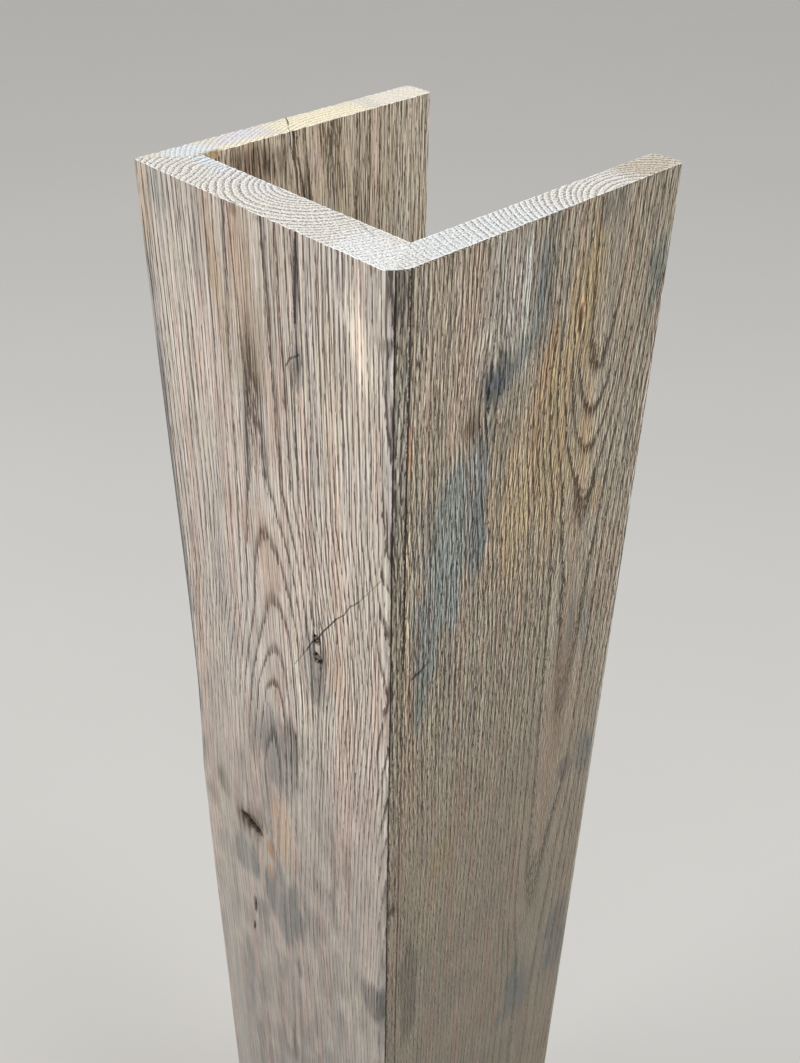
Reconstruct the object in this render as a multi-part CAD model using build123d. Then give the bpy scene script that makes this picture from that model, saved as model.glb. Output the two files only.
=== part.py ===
from build123d import *
from dataclasses import dataclass
import os

# Hollow box beam: three solid oak boards mitred and glued into a U, standing on its sawn end.
# X runs across the face board, Y from the face board towards the open side, Z along the length.
# The origin is the middle of the foot of the beam's overall box. All sizes are in millimetres.

# Driving sizes of the beam
beam_length = 1200.0
face_width = 191.0
face_thickness = 30.0
side_thickness = 20.0
right_depth = 207.0
left_depth = 195.0

# Eased arrises on the free edges of the two side boards
right_tip_outer_ease = 1.6
right_tip_inner_ease = 1.0
left_tip_outer_round = 5.0
left_tip_inner_round = 2.0

# How far the two worn arrises stand out from a flat bevel
near_arris_bulge = 1.3
far_arris_bulge = 0.3

# How far a cutter runs past the wood, and how wide an arris cutter spreads outside its corner
cutter_overrun = 4.0
cutter_spread = 12.0

# Width of a knot pit's floor as a share of its width at the face
pit_floor_share = 0.55

# How far the shrunken core of a pin knot lies below the face
core_sink = 0.5

# Chip broken out of the left board where its end meets the face board
chip_length = 9.0
chip_width = 3.2
chip_drop = 3.0
chip_from_face_board = 1.5

# Drying check that splits the top end of the left board through its thickness
check_from_face = 94.0
check_mouth = 1.1
check_reach = 62.0
check_slant = -36.0

# Where the beam lies in its own frame
left_x = -face_width / 2
right_x = face_width / 2
front_y = -max(right_depth, left_depth) / 2


@dataclass
class Wear:
    """One place along a worn arris: its distance below the top end and its two legs."""

    below_top: float
    face_leg: float
    side_leg: float


@dataclass
class Knot:
    """A leaning oval pit that a dried knot has left in the face board.

    Where the knot has a core, given as a share of its width, the core still stands in the pit.
    """

    from_left: float
    below_top: float
    width: float
    height: float
    depth: float
    lean: float
    core: float = 0.0


# The near arris is a hand-worn rounding between the face board and the right board
near_arris = [
    Wear(0, 7.0, 11.0),
    Wear(90, 6.2, 10.6),
    Wear(190, 7.6, 11.4),
    Wear(300, 8.8, 11.2),
    Wear(430, 6.8, 10.8),
    Wear(580, 7.8, 11.5),
    Wear(740, 6.4, 10.9),
    Wear(900, 8.2, 11.3),
    Wear(1060, 6.9, 10.7),
]

# The far arris of the face board is sharp at the top end and waney lower down
far_arris = [
    Wear(0, 1.4, 1.1),
    Wear(70, 2.4, 1.4),
    Wear(140, 4.6, 2.2),
    Wear(215, 6.8, 3.2),
    Wear(290, 8.8, 4.2),
    Wear(365, 8.2, 4.0),
    Wear(405, 5.6, 2.9),
    Wear(440, 2.2, 1.4),
    Wear(570, 2.0, 1.3),
    Wear(720, 3.8, 2.0),
    Wear(860, 5.2, 2.6),
    Wear(1010, 3.0, 1.7),
]

# Two pin knots under the crack, one long slanting knot lower down, and two short bark pockets
knots = [
    Knot(132.5, 238.5, 7.4, 7.6, 3.0, 8.0, core=0.34),
    Knot(133.3, 251.8, 8.8, 7.8, 3.5, -12.0, core=0.36),
    Knot(55.0, 457.5, 27.0, 9.0, 4.0, -15.0),
    Knot(51.2, 552.0, 3.2, 21.0, 2.2, -3.0),
    Knot(47.6, 580.0, 2.8, 13.0, 1.6, -10.0),
]


def board(outline: list) -> Part:
    """Saw one board to length: its section, drawn as corner points, run the whole beam."""
    return extrude(make_face(Polyline(*outline, close=True)), amount=beam_length)


def arris_cutter(corner: Vector, along_face: int, stations: list, bulge: float) -> Part:
    """Cutter that wears an arris: a loft through one corner section at each station.

    along_face is +1 or -1, the way along X from the arris across the face board.
    """
    present = [place for place in stations if place.below_top < beam_length]
    heights = [beam_length - place.below_top for place in present]
    heights[0] += cutter_overrun
    sections = []
    for place, height in zip(present + [present[-1]], heights + [-cutter_overrun]):
        face_foot = corner + Vector(along_face * place.face_leg, 0)
        side_head = corner + Vector(0, place.side_leg)
        along_bevel = (side_head - face_foot).normalized()
        outward = Vector(along_bevel.Y, -along_bevel.X) * -along_face
        crown = (face_foot + side_head) / 2 + outward * bulge
        # past the wood, each flat of the rounding is carried on in its own line
        before = face_foot * 2 - crown
        after = side_head * 2 - crown
        outside = corner + Vector(-along_face, -1) * cutter_spread
        profile = Polyline(before, crown, after, outside, close=True)
        sections.append(Pos(0, 0, height) * make_face(profile))
    return loft(sections, ruled=True)


def knot_pit(knot: Knot) -> Part:
    """Oval pit of one knot, wide at the face of the board and narrow at its floor.

    A pin knot's pit is a ring, because its core is left standing on the floor.
    """
    centre = (left_x + knot.from_left, front_y, beam_length - knot.below_top)
    face_plane = Plane(origin=centre, x_dir=(1, 0, 0), z_dir=(0, -1, 0)).rotated((0, 0, knot.lean))
    face_radii = (knot.width / 2, knot.height / 2)
    floor_radii = [radius * pit_floor_share for radius in face_radii]
    # the cutter starts in front of the face, as much wider as its walls flare
    start = (knot.depth + cutter_overrun) / knot.depth
    mouth_radii = [low + (high - low) * start for low, high in zip(floor_radii, face_radii)]
    mouth = face_plane.offset(cutter_overrun) * Ellipse(*mouth_radii)
    floor_plane = face_plane.offset(-knot.depth)
    floor = floor_plane * Ellipse(*floor_radii)
    pit = loft([mouth, floor])
    if knot.core:
        core_radii = [radius * knot.core for radius in face_radii]
        pit -= extrude(floor_plane * Ellipse(*core_radii), amount=knot.depth - core_sink)
    return pit


def end_check() -> Part:
    """Tapering split in the top end of the left board, slanting across its thickness."""
    above = cutter_overrun
    half_mouth = check_mouth / 2 * (check_reach + above) / check_reach
    profile = make_face(
        Plane.YZ * Polyline((-half_mouth, above), (half_mouth, above), (0, -check_reach), close=True)
    )
    blade = extrude(profile, amount=side_thickness / 2 + cutter_overrun, both=True)
    place = Pos(left_x + side_thickness / 2, front_y + check_from_face, beam_length)
    return place * Rot(0, 0, check_slant) * blade


def corner_chip() -> Part:
    """Small wedge broken out of the left board's inner edge, at the top end beside the joint."""
    inner_x = left_x + side_thickness
    start_y = front_y + face_thickness + chip_from_face_board
    profile = make_face(
        Plane.XZ
        * Polyline(
            (inner_x - chip_width, beam_length + cutter_overrun),
            (inner_x - chip_width, beam_length),
            (inner_x, beam_length - chip_drop),
            (inner_x + cutter_overrun, beam_length - chip_drop),
            (inner_x + cutter_overrun, beam_length + cutter_overrun),
            close=True,
        )
    )
    return Pos(0, start_y + chip_length, 0) * extrude(profile, amount=chip_length)


# The face board is thicker than the sides, so each mitre runs steeper than 45 degrees,
# from the outer corner of the section straight to the corner of the hollow
inner_y = front_y + face_thickness
face_outline = [
    (left_x, front_y),
    (right_x, front_y),
    (right_x - side_thickness, inner_y),
    (left_x + side_thickness, inner_y),
]
right_tip_y = front_y + right_depth
right_outline = [
    (right_x, front_y),
    (right_x, right_tip_y - right_tip_outer_ease),
    (right_x - right_tip_outer_ease, right_tip_y),
    (right_x - side_thickness + right_tip_inner_ease, right_tip_y),
    (right_x - side_thickness, right_tip_y - right_tip_inner_ease),
    (right_x - side_thickness, inner_y),
]
left_tip_y = front_y + left_depth
left_outline = [
    (left_x, front_y),
    (left_x + side_thickness, inner_y),
    (left_x + side_thickness, left_tip_y),
    (left_x, left_tip_y),
]

near_cutter = arris_cutter(Vector(right_x, front_y), -1, near_arris, near_arris_bulge)
far_cutter = arris_cutter(Vector(left_x, front_y), 1, far_arris, far_arris_bulge)

face_board = board(face_outline) - near_cutter - far_cutter
for knot in knots:
    face_board -= knot_pit(knot)

right_board = board(right_outline) - near_cutter

left_board = board(left_outline)
left_tip_edges = left_board.edges().filter_by(Axis.Z).group_by(Axis.Y)[-1].sort_by(Axis.X)
left_board = fillet(left_tip_edges[0], left_tip_outer_round)
left_tip_edges = left_board.edges().filter_by(Axis.Z).group_by(Axis.Y)[-1].sort_by(Axis.X)
left_board = fillet(left_tip_edges[-1], left_tip_inner_round)
left_board = left_board - far_cutter - end_check() - corner_chip()

os.makedirs("parts", exist_ok=True)
pieces = {
    "face_board": face_board,
    "right_side_board": right_board,
    "left_side_board": left_board,
}
for name, piece in pieces.items():
    export_step(piece, f"parts/{name}.step")
    print(name, round(piece.volume), piece.is_valid)
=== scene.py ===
import logging
import math
from abc import ABC, abstractmethod
from dataclasses import dataclass
from enum import Enum
from typing import ClassVar, Sequence, Union

import bmesh
import bpy
import numpy as np
from mathutils import Matrix, Vector


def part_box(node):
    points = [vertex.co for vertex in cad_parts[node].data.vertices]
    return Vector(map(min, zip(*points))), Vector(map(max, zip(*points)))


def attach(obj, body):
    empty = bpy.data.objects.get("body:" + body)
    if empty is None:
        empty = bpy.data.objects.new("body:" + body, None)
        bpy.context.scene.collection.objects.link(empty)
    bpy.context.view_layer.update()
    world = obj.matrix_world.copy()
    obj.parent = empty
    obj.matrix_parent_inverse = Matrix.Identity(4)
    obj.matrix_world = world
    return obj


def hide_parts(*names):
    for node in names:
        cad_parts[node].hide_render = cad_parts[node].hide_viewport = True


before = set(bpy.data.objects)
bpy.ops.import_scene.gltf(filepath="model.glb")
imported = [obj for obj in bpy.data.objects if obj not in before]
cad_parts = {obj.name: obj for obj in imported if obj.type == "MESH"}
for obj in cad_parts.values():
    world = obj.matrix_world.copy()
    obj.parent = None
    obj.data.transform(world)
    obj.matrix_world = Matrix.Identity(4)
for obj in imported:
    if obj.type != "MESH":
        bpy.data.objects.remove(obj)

# Looks of a hollow box beam: three brushed and aged oak boards, mitred into a U, with fresh sawn ends.
# Each board is one closed mesh whose relief, knots, worn arrises and torn edges are real shape.
# Everything is in metres in the beam's own frame. What is read off a board with a rule is noted
# in millimetres, across the board from its front corner and down from the top end.

Array = np.ndarray
Colour = tuple[float, float, float]
Socket = bpy.types.NodeSocket
Value = Union[float, tuple, Socket]
Amount = Union[float, Array]
Pair = tuple[float, float]

MM = 0.001
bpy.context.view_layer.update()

logging.basicConfig(level=logging.INFO, format="%(levelname)s %(message)s")
log = logging.getLogger("box_beam")


def tone(red: int, green: int, blue: int) -> Colour:
    """Turn a colour as it looks on screen, 0 to 255, into the light that shaders work in."""
    parts = [channel / 255 for channel in (red, green, blue)]
    return tuple(p / 12.92 if p <= 0.04045 else ((p + 0.055) / 1.055) ** 2.4 for p in parts)


def rise(low: float, high: float, value: Array) -> Array:
    """Smooth step from 0 at low to 1 at high."""
    share = np.clip((value - low) / (high - low), 0, 1)
    return share * share * (3 - 2 * share)


def bell(value: Array, middle: float, reach: float) -> Array:
    """Rounded bump of height 1 at the middle, gone at about twice the reach."""
    return np.exp(-(((value - middle) / reach) ** 2))


class Roughness:
    """Seeded smooth noise over two directions, between -1 and 1."""

    SIDE = 257

    def __init__(self, seed: int) -> None:
        """Fill the lattice.

        Args:
            seed: Which noise this is; the same seed always gives the same noise.
        """
        self.lattice = np.random.default_rng(seed).uniform(-1, 1, (self.SIDE, self.SIDE))

    def at(self, first: Array, second: Array) -> Array:
        """Read the noise, whose bumps are one unit wide in each direction."""
        first, second = np.broadcast_arrays(first, second)
        row, column = np.floor(first).astype(int), np.floor(second).astype(int)
        along, over = rise(0, 1, first - row), rise(0, 1, second - column)
        low, high = row % self.SIDE, (row + 1) % self.SIDE
        left, right = column % self.SIDE, (column + 1) % self.SIDE
        near = self.lattice[low, left] * (1 - over) + self.lattice[low, right] * over
        far = self.lattice[high, left] * (1 - over) + self.lattice[high, right] * over
        return near * (1 - along) + far * along


@dataclass(frozen=True)
class Ripple:
    """One layer of noise over a board.

    Attributes:
        size: How strong it is.
        wide: Width of its bumps, in millimetres.
        long: Length of its bumps, in millimetres.
        shift: How many bumps aside it is read, so that two layers of one noise differ.
    """

    size: float
    wide: float
    long: float
    shift: float = 0.0

    def at(self, noise: Roughness, across: Array, below: Amount, move: Amount = 0.0) -> Array:
        """Read the layer, moved down by so many bumps."""
        return self.size * noise.at(across / self.wide + self.shift, below / self.long + move)


@dataclass(frozen=True)
class Hump:
    """A band of values: it begins, is full from one value to another, and ends."""

    begins: float
    full_from: float
    full_to: float
    ends: float

    def of(self, value: Array) -> Array:
        """Give 1 where the band is full and 0 outside it."""
        return rise(self.begins, self.full_from, value) * (1 - rise(self.full_to, self.ends, value))

    def drawn(self, nodes: "Nodes", value: Socket) -> Socket:
        """Give the same number in a material."""
        rising = nodes.remap(value, self.begins, self.full_from)
        falling = nodes.remap(value, self.full_to, self.ends, 1.0, 0.0)
        return nodes.math("MULTIPLY", rising, falling)


@dataclass(frozen=True)
class Zone:
    """A stretch that needs a finer mesh.

    Attributes:
        middle: Where it is, in millimetres.
        reach: How far it spreads each way, in millimetres.
        gain: How many times finer it is, less one.
    """

    middle: float
    reach: float
    gain: float


# At how many places a length is sampled when its steps are shared out
GRADING_SAMPLES = 4001


def graded(length: float, count: int, zones: Sequence[Zone]) -> Array:
    """Share out a length, with closer steps inside the zones.

    Args:
        length: The whole length, in millimetres.
        count: How many steps.
        zones: The stretches with closer steps.

    Returns:
        The count + 1 places from 0 to the length.
    """
    line = np.linspace(0, length, GRADING_SAMPLES)
    closeness = 1 + sum((zone.gain * bell(line, zone.middle, zone.reach) for zone in zones), 0 * line)
    travel = np.concatenate(([0], np.cumsum((closeness[1:] + closeness[:-1]) / 2)))
    return np.interp(np.linspace(0, travel[-1], count + 1), travel, line)


@dataclass(frozen=True)
class Section:
    """The beam's outer corners, hollow and length, read from the frame in metres."""

    left: float
    right: float
    front: float
    inner_left: float
    inner_right: float
    inner_front: float
    left_tip: float
    right_tip: float
    length: float

    @classmethod
    def from_frame(cls) -> "Section":
        """Measure the three boards that the frame holds."""
        left_low, left_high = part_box("left_side_board")
        right_low, right_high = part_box("right_side_board")
        face_low, face_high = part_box("face_board")
        return cls(
            left=left_low[0],
            right=right_high[0],
            front=face_low[1],
            inner_left=left_high[0],
            inner_right=right_low[0],
            inner_front=face_high[1],
            left_tip=left_high[1],
            right_tip=right_high[1],
            length=face_high[2],
        )


@dataclass(frozen=True)
class Wear:
    """One place along a worn arris, in millimetres: how far down, and how far it takes each board."""

    below_top: float
    face_leg: float
    side_leg: float


@dataclass(frozen=True)
class WornArris:
    """A long outer corner of the beam that has been rounded by hand.

    Attributes:
        along_face: +1 or -1, the way along X from the corner across the face board.
        bulge: How far the rounding stands out from a flat bevel, in millimetres.
        places: The wear along the corner.
        seed: Which small waver the rounding has.
    """

    # The waver of each leg as a share of it, and the row of the noise that the leg reads
    FACE_WAVER: ClassVar[Ripple] = Ripple(0.05, 23.0, 1.0)
    FACE_ROW: ClassVar[float] = 0.5
    SIDE_WAVER: ClassVar[Ripple] = Ripple(0.03, 31.0, 1.0)
    SIDE_ROW: ClassVar[float] = 9.5
    SEARCH_STEPS: ClassVar[int] = 24

    along_face: int
    bulge: float
    places: tuple[Wear, ...]
    seed: int

    def legs(self, below: Array) -> tuple[Array, Array]:
        """Give the wear on the face board and on the side board at each height, in millimetres."""
        heights = [place.below_top for place in self.places]
        waver = Roughness(self.seed)
        face = np.interp(below, heights, [place.face_leg for place in self.places])
        side = np.interp(below, heights, [place.side_leg for place in self.places])
        face = face * (1 + self.FACE_WAVER.at(waver, below, self.FACE_ROW))
        side = side * (1 + self.SIDE_WAVER.at(waver, below, self.SIDE_ROW))
        return face, side

    def point(self, below: Array, share: Array) -> Array:
        """Follow the rounding.

        Args:
            below: Distances below the top end, in millimetres.
            share: 0 on the face board's edge of the rounding, 1 on the side board's.

        Returns:
            Places in millimetres from the sharp corner, along X and Y, one for each distance.
        """
        face, side = self.legs(below)
        bevel = np.stack([-self.along_face * face, side], axis=-1)
        bevel = bevel / np.linalg.norm(bevel, axis=-1, keepdims=True)
        outward = np.stack([-self.along_face * bevel[:, 1], -np.abs(bevel[:, 0])], axis=-1)
        start = np.stack([self.along_face * face, 0 * face], axis=-1)
        end = np.stack([0 * side, side], axis=-1)
        share = np.broadcast_to(share, below.shape)[:, None]
        swell = self.bulge * 4 * share * (1 - share)
        return start * (1 - share) + end * share + outward * swell

    def joint_share(self, below: Array, mitre: Array) -> Array:
        """Find where the mitre meets the rounding, as a share of the way round it."""
        low, high = np.zeros_like(below), np.ones_like(below)
        for _ in range(self.SEARCH_STEPS):
            middle = (low + high) / 2
            place = self.point(below, middle)
            on_face = self.along_face * (place[:, 0] * mitre[1] - place[:, 1] * mitre[0]) > 0
            low, high = np.where(on_face, middle, low), np.where(on_face, high, middle)
        return (low + high) / 2

    def stretch(self, below: Array, start: Array, end: Array, steps: int) -> list[Array]:
        """List the columns of the rounding from one share to another, ends included."""
        return [self.point(below, start + (end - start) * k / steps) for k in range(steps + 1)]


NEAR_ARRIS = WornArris(
    along_face=-1,
    bulge=1.3,
    seed=11,
    places=(
        Wear(0, 7.0, 11.0),
        Wear(90, 6.2, 10.6),
        Wear(190, 7.6, 11.4),
        Wear(300, 8.8, 11.2),
        Wear(430, 6.8, 10.8),
        Wear(580, 7.8, 11.5),
        Wear(740, 6.4, 10.9),
        Wear(900, 8.2, 11.3),
        Wear(1060, 6.9, 10.7),
    ),
)

FAR_ARRIS = WornArris(
    along_face=1,
    bulge=0.3,
    seed=12,
    places=(
        Wear(0, 1.4, 1.1),
        Wear(70, 2.4, 1.4),
        Wear(140, 4.6, 2.2),
        Wear(215, 6.8, 3.2),
        Wear(290, 8.8, 4.2),
        Wear(365, 8.2, 4.0),
        Wear(405, 5.6, 2.9),
        Wear(440, 2.2, 1.4),
        Wear(570, 2.0, 1.3),
        Wear(720, 3.8, 2.0),
        Wear(860, 5.2, 2.6),
        Wear(1010, 3.0, 1.7),
    ),
)


@dataclass(frozen=True)
class Pith:
    """Where the heart of the log runs past a board, in millimetres.

    Attributes:
        below: Distance below the top end.
        across: Distance across the board.
        into: Distance behind the board's outer face, negative in front of it.
    """

    below: float
    across: float
    into: float


@dataclass(frozen=True)
class Swerve:
    """A place where the grain is pushed aside, as round a knot, in millimetres."""

    across: float
    below: float
    reach_across: float
    reach_below: float
    push: float


@dataclass(frozen=True)
class Growth:
    """The growth rings of the log that a board was sawn from.

    Attributes:
        heart: The pith at several heights.
        ring_width: Mean width of a ring, in millimetres.
        wander: How far the rings stray from true circles, in millimetres.
        seed: Which log it is.
        swerves: Where the grain is pushed aside.
        crumple: How far rings zigzag in the end grain, in millimetres, and where across the board.
    """

    # Where round the pith the rays are measured, and the noises of the fibres and the rings.
    # Straying and folding also change into the board, by one bump for each so many millimetres.
    RAY_RADIUS: ClassVar[float] = 45.0
    SWAY: ClassVar[Ripple] = Ripple(1.2, 45.0, 160.0)
    STRAY: ClassVar[Ripple] = Ripple(1.0, 34.0, 130.0)
    STRAY_DEPTH: ClassVar[float] = 60.0
    FOLD: ClassVar[Ripple] = Ripple(1.0, 9.0, 90.0)
    FOLD_DEPTH: ClassVar[float] = 8.0
    UNEVEN: ClassVar[Ripple] = Ripple(0.5, 3.0, 1.0)
    UNEVEN_ROW: ClassVar[float] = 0.5

    heart: tuple[Pith, ...]
    ring_width: float
    wander: float
    seed: int
    swerves: tuple[Swerve, ...] = ()
    crumple: tuple[float, float, float] = (0.0, 0.0, 1.0)

    def fibre(self, across: Array, below: Array) -> Array:
        """Give the place of each fibre across the board, with the grain's swerves taken out."""
        pushed = across + self.SWAY.at(Roughness(self.seed), across, below)
        for swerve in self.swerves:
            offset = across - swerve.across
            near = bell(offset, 0, swerve.reach_across) * bell(below, swerve.below, swerve.reach_below)
            pushed = pushed - swerve.push * np.tanh(offset / (swerve.reach_across / 2)) * near
        return pushed

    def rings(self, across: Array, below: Array, into: Array) -> Array:
        """Count the rings from the pith, as a number that grows by one for each ring."""
        depths = [place.below for place in self.heart]
        aside = self.fibre(across, below) - np.interp(below, depths, [place.across for place in self.heart])
        behind = into - np.interp(below, depths, [place.into for place in self.heart])
        radius = np.hypot(aside, behind)
        stray = self.STRAY.at(Roughness(self.seed + 1), across, below, into / self.STRAY_DEPTH)
        radius = radius + self.wander * stray
        size, middle, reach = self.crumple
        fold = self.FOLD.at(Roughness(self.seed + 2), across, below, into / self.FOLD_DEPTH)
        radius = radius + size * fold * bell(across, middle, reach)
        count = radius / self.ring_width
        return count + self.UNEVEN.at(Roughness(self.seed + 3), count, self.UNEVEN_ROW)

    def rays(self, across: Array, into: Array) -> Array:
        """Give how far round the pith each place of the top end lies, in millimetres at mid radius."""
        pith = self.heart[0]
        side = math.copysign(1.0, -pith.into)
        return self.RAY_RADIUS * np.arctan2(across - pith.across, side * (into - pith.into))


@dataclass(frozen=True)
class Stain:
    """A patch of another colour on a board, in millimetres.

    Attributes:
        across: Middle of the patch across the board.
        below: Middle of the patch below the top end.
        width: Its size across.
        height: Its size along.
        colour: Its colour.
        strength: From 0, none, to 1, only this colour.
        lean: How far its top leans over, as run for each unit of rise.
        soft: From 0, hard-edged, to 1, soft all over.
    """

    # How far the outline is ragged and how far a soft one spreads, as shares of the patch
    RAGGED: ClassVar[float] = 0.28
    SPREAD: ClassVar[float] = 0.35

    across: float
    below: float
    width: float
    height: float
    colour: Colour
    strength: float = 0.7
    lean: float = 0.0
    soft: float = 0.5

    def cover(self, across: Array, below: Array, ragged: Array) -> Array:
        """Give how strongly the patch shows at each place."""
        aside = (across - self.across + self.lean * (below - self.below)) / (self.width / 2)
        along = (below - self.below) / (self.height / 2)
        reach = np.hypot(aside, along) + self.RAGGED * ragged
        return self.strength * (1 - rise(1 - self.soft, 1 + self.SPREAD * self.soft, reach))


# The two noises in a patch's outline, and the cover below which there is no patch at all
COARSE_OUTLINE = Ripple(1.0, 7.0, 22.0)
FINE_OUTLINE = Ripple(0.5, 2.6, 9.0, shift=40.0)
LEAST_COVER = 1e-6


def blend_stains(
    stains: Sequence[Stain], across: Array, below: Array, outline: Roughness, ground: Colour
) -> Array:
    """Lay patches of colour over each other.

    Args:
        stains: The patches, the lowest first.
        across: Places across the board, in millimetres.
        below: Places below the top end, in millimetres.
        outline: The noise that makes the patches' outlines ragged.
        ground: Colour where there is no patch.

    Returns:
        Red, green, blue and cover for each place.
    """
    ragged = COARSE_OUTLINE.at(outline, across, below) + FINE_OUTLINE.at(outline, across, below)
    mixed = np.zeros(across.shape + (4,))
    mixed[..., :3] = ground
    for stain in stains:
        cover = stain.cover(across, below, ragged)
        total = cover + mixed[..., 3] * (1 - cover)
        share = np.where(total > LEAST_COVER, cover / np.maximum(total, LEAST_COVER), 0)[..., None]
        mixed[..., :3] = mixed[..., :3] * (1 - share) + np.array(stain.colour) * share
        mixed[..., 3] = total
    return mixed


@dataclass(frozen=True)
class Knot:
    """A small knot whose rim has dried to a dark pit.

    Attributes:
        across: Its middle across the board, in millimetres.
        below: Its middle below the top end, in millimetres.
        width: Its size across, in millimetres.
        height: Its size along, in millimetres.
        depth: How deep its pit is, in millimetres.
        lean: How far its right end is turned up, in degrees.
        core: How much of its width is a core that still stands, as a share.
        darkness: How black its rim is, 0 to 1.
    """

    across: float
    below: float
    width: float
    height: float
    depth: float
    lean: float = 0.0
    core: float = 0.0
    darkness: float = 1.0

    def reach(self, across: Array, below: Array) -> Array:
        """Give the distance from the knot's middle, 1 on its rim."""
        turn = math.radians(self.lean)
        aside, along = across - self.across, below - self.below
        wide = (aside * math.cos(turn) - along * math.sin(turn)) / (self.width / 2)
        high = (aside * math.sin(turn) + along * math.cos(turn)) / (self.height / 2)
        return np.hypot(wide, high)


@dataclass(frozen=True)
class Tear:
    """A place where fibres have torn out, in millimetres across, down, wide, high and deep."""

    across: float
    below: float
    width: float
    height: float
    depth: float
    grime: float = 0.8

    def reach(self, across: Array, below: Array) -> Array:
        """Give the distance from the tear's middle, 1 on its outline."""
        return np.hypot((across - self.across) / (self.width / 2), (below - self.below) / (self.height / 2))


@dataclass(frozen=True)
class Crack:
    """A thin split, drawn through (across, below) points in millimetres, its width and darkness."""

    points: tuple[tuple[float, float], ...]
    width: float
    strength: float = 0.9


@dataclass(frozen=True)
class Chip:
    """A splinter broken out of the inner edge of the top end, in millimetres."""

    # Where along the splinter the break is full depth, and how ragged its width is
    PROFILE: ClassVar[Hump] = Hump(0.0, 0.2, 0.8, 1.0)
    RAGGED: ClassVar[Ripple] = Ripple(0.25, 1.5, 1.5)

    start: float
    length: float
    width: float
    drop: float

    def sink(self, across: Array, from_inner: Array, torn: Roughness) -> Array:
        """Give how deep the break lies at each place, so far from the board's inner face."""
        along = self.PROFILE.of((across - self.start) / self.length)
        ragged = 1 + self.RAGGED.at(torn, across, from_inner)
        return self.drop * along * np.clip(1 - from_inner / (self.width * ragged), 0, 1)


class Wall(Enum):
    """The surfaces of one board."""

    OUTER = 0
    INNER = 1
    JOINT = 2
    TIP = 3
    END = 4


class Shell:
    """A closed mesh of one board: a section of columns, repeated at stations down the beam."""

    def __init__(self, outer: Array, inner: Array, below: Array, layers: int, length: float) -> None:
        """Lay out the vertices and faces.

        Args:
            outer: Places of the outer columns, stations by columns by X and Y, in metres.
            inner: Places of the inner columns, half as many steps.
            below: Distance of each station below the top end, in metres.
            layers: How many steps go through the board's thickness.
            length: Length of the beam, in metres.
        """
        self.stations, self.columns = outer.shape[:2]
        self.layers = layers
        self.places: list[Array] = []
        self.walls: list[Array] = []
        self.count = 0
        self.faces: list[tuple[int, ...]] = []
        height = length - below
        shares = np.linspace(0, 1, layers + 1)[1:-1]
        outer_ids = self._add(outer, height, Wall.OUTER)
        inner_ids = self._add(inner, height, Wall.INNER)
        joint = self._between(outer[:, 0], inner[:, 0], shares)
        tip = self._between(outer[:, -1], inner[:, -1], shares)
        joint_ids = self._add(joint, height, Wall.JOINT)
        tip_ids = self._add(tip, height, Wall.TIP)
        self._grid(outer_ids)
        self._grid(inner_ids[:, ::-1])
        self._grid(np.column_stack([inner_ids[:, 0], joint_ids[:, ::-1], outer_ids[:, 0]]))
        self._grid(np.column_stack([outer_ids[:, -1], tip_ids, inner_ids[:, -1]]))
        for station in (0, -1):
            wide = self._widen(inner[station])
            middle = self._between(outer[station, 1:-1], wide[1:-1], shares)
            level = np.full(len(middle), height[station])
            cap = self._add(middle, level, Wall.END).T
            rows = np.vstack([outer_ids[station, 1:-1], cap])
            first = np.concatenate([[outer_ids[station, 0]], joint_ids[station]])
            last = np.concatenate([[outer_ids[station, -1]], tip_ids[station]])
            rows = np.column_stack([first, rows, last])
            self._grid(rows)
            self._narrow(rows[-1], inner_ids[station])

    @staticmethod
    def _between(first: Array, second: Array, shares: Array) -> Array:
        """Step from one row of places to another."""
        return first[:, None] * (1 - shares[None, :, None]) + second[:, None] * shares[None, :, None]

    @staticmethod
    def _widen(row: Array) -> Array:
        """Put a place between each two of a row, so that it has as many as the outer columns."""
        wide = np.repeat(row, 2, axis=0)[:-1]
        wide[1::2] = (row[:-1] + row[1:]) / 2
        return wide

    def _add(self, plan: Array, height: Array, wall: Wall) -> Array:
        """Add vertices at X and Y places with one height for each row, and give their numbers."""
        rows, columns = plan.shape[:2]
        level = np.broadcast_to(height[:, None], (rows, columns))
        self.places.append(np.dstack([plan, level]).reshape(-1, 3))
        self.walls.append(np.full(rows * columns, wall.value))
        ids = np.arange(self.count, self.count + rows * columns).reshape(rows, columns)
        self.count += rows * columns
        return ids

    def _grid(self, ids: Array) -> None:
        """Fill a grid of vertices with four-sided faces."""
        quads = np.stack([ids[:-1, :-1], ids[1:, :-1], ids[1:, 1:], ids[:-1, 1:]], axis=-1)
        self.faces.extend(map(tuple, quads.reshape(-1, 4).tolist()))

    def _narrow(self, many: Array, few: Array) -> None:
        """Join a row of vertices to one with half as many steps."""
        for k in range(len(few) - 1):
            left, middle, right = (int(v) for v in many[2 * k : 2 * k + 3])
            low, high = int(few[k]), int(few[k + 1])
            self.faces.extend([(left, middle, low), (middle, high, low), (middle, right, high)])

    def vertices(self) -> Array:
        """All places, before any relief, in metres."""
        return np.concatenate(self.places)

    def wall_of_each(self) -> Array:
        """The wall that each vertex was made for."""
        return np.concatenate(self.walls)


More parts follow.
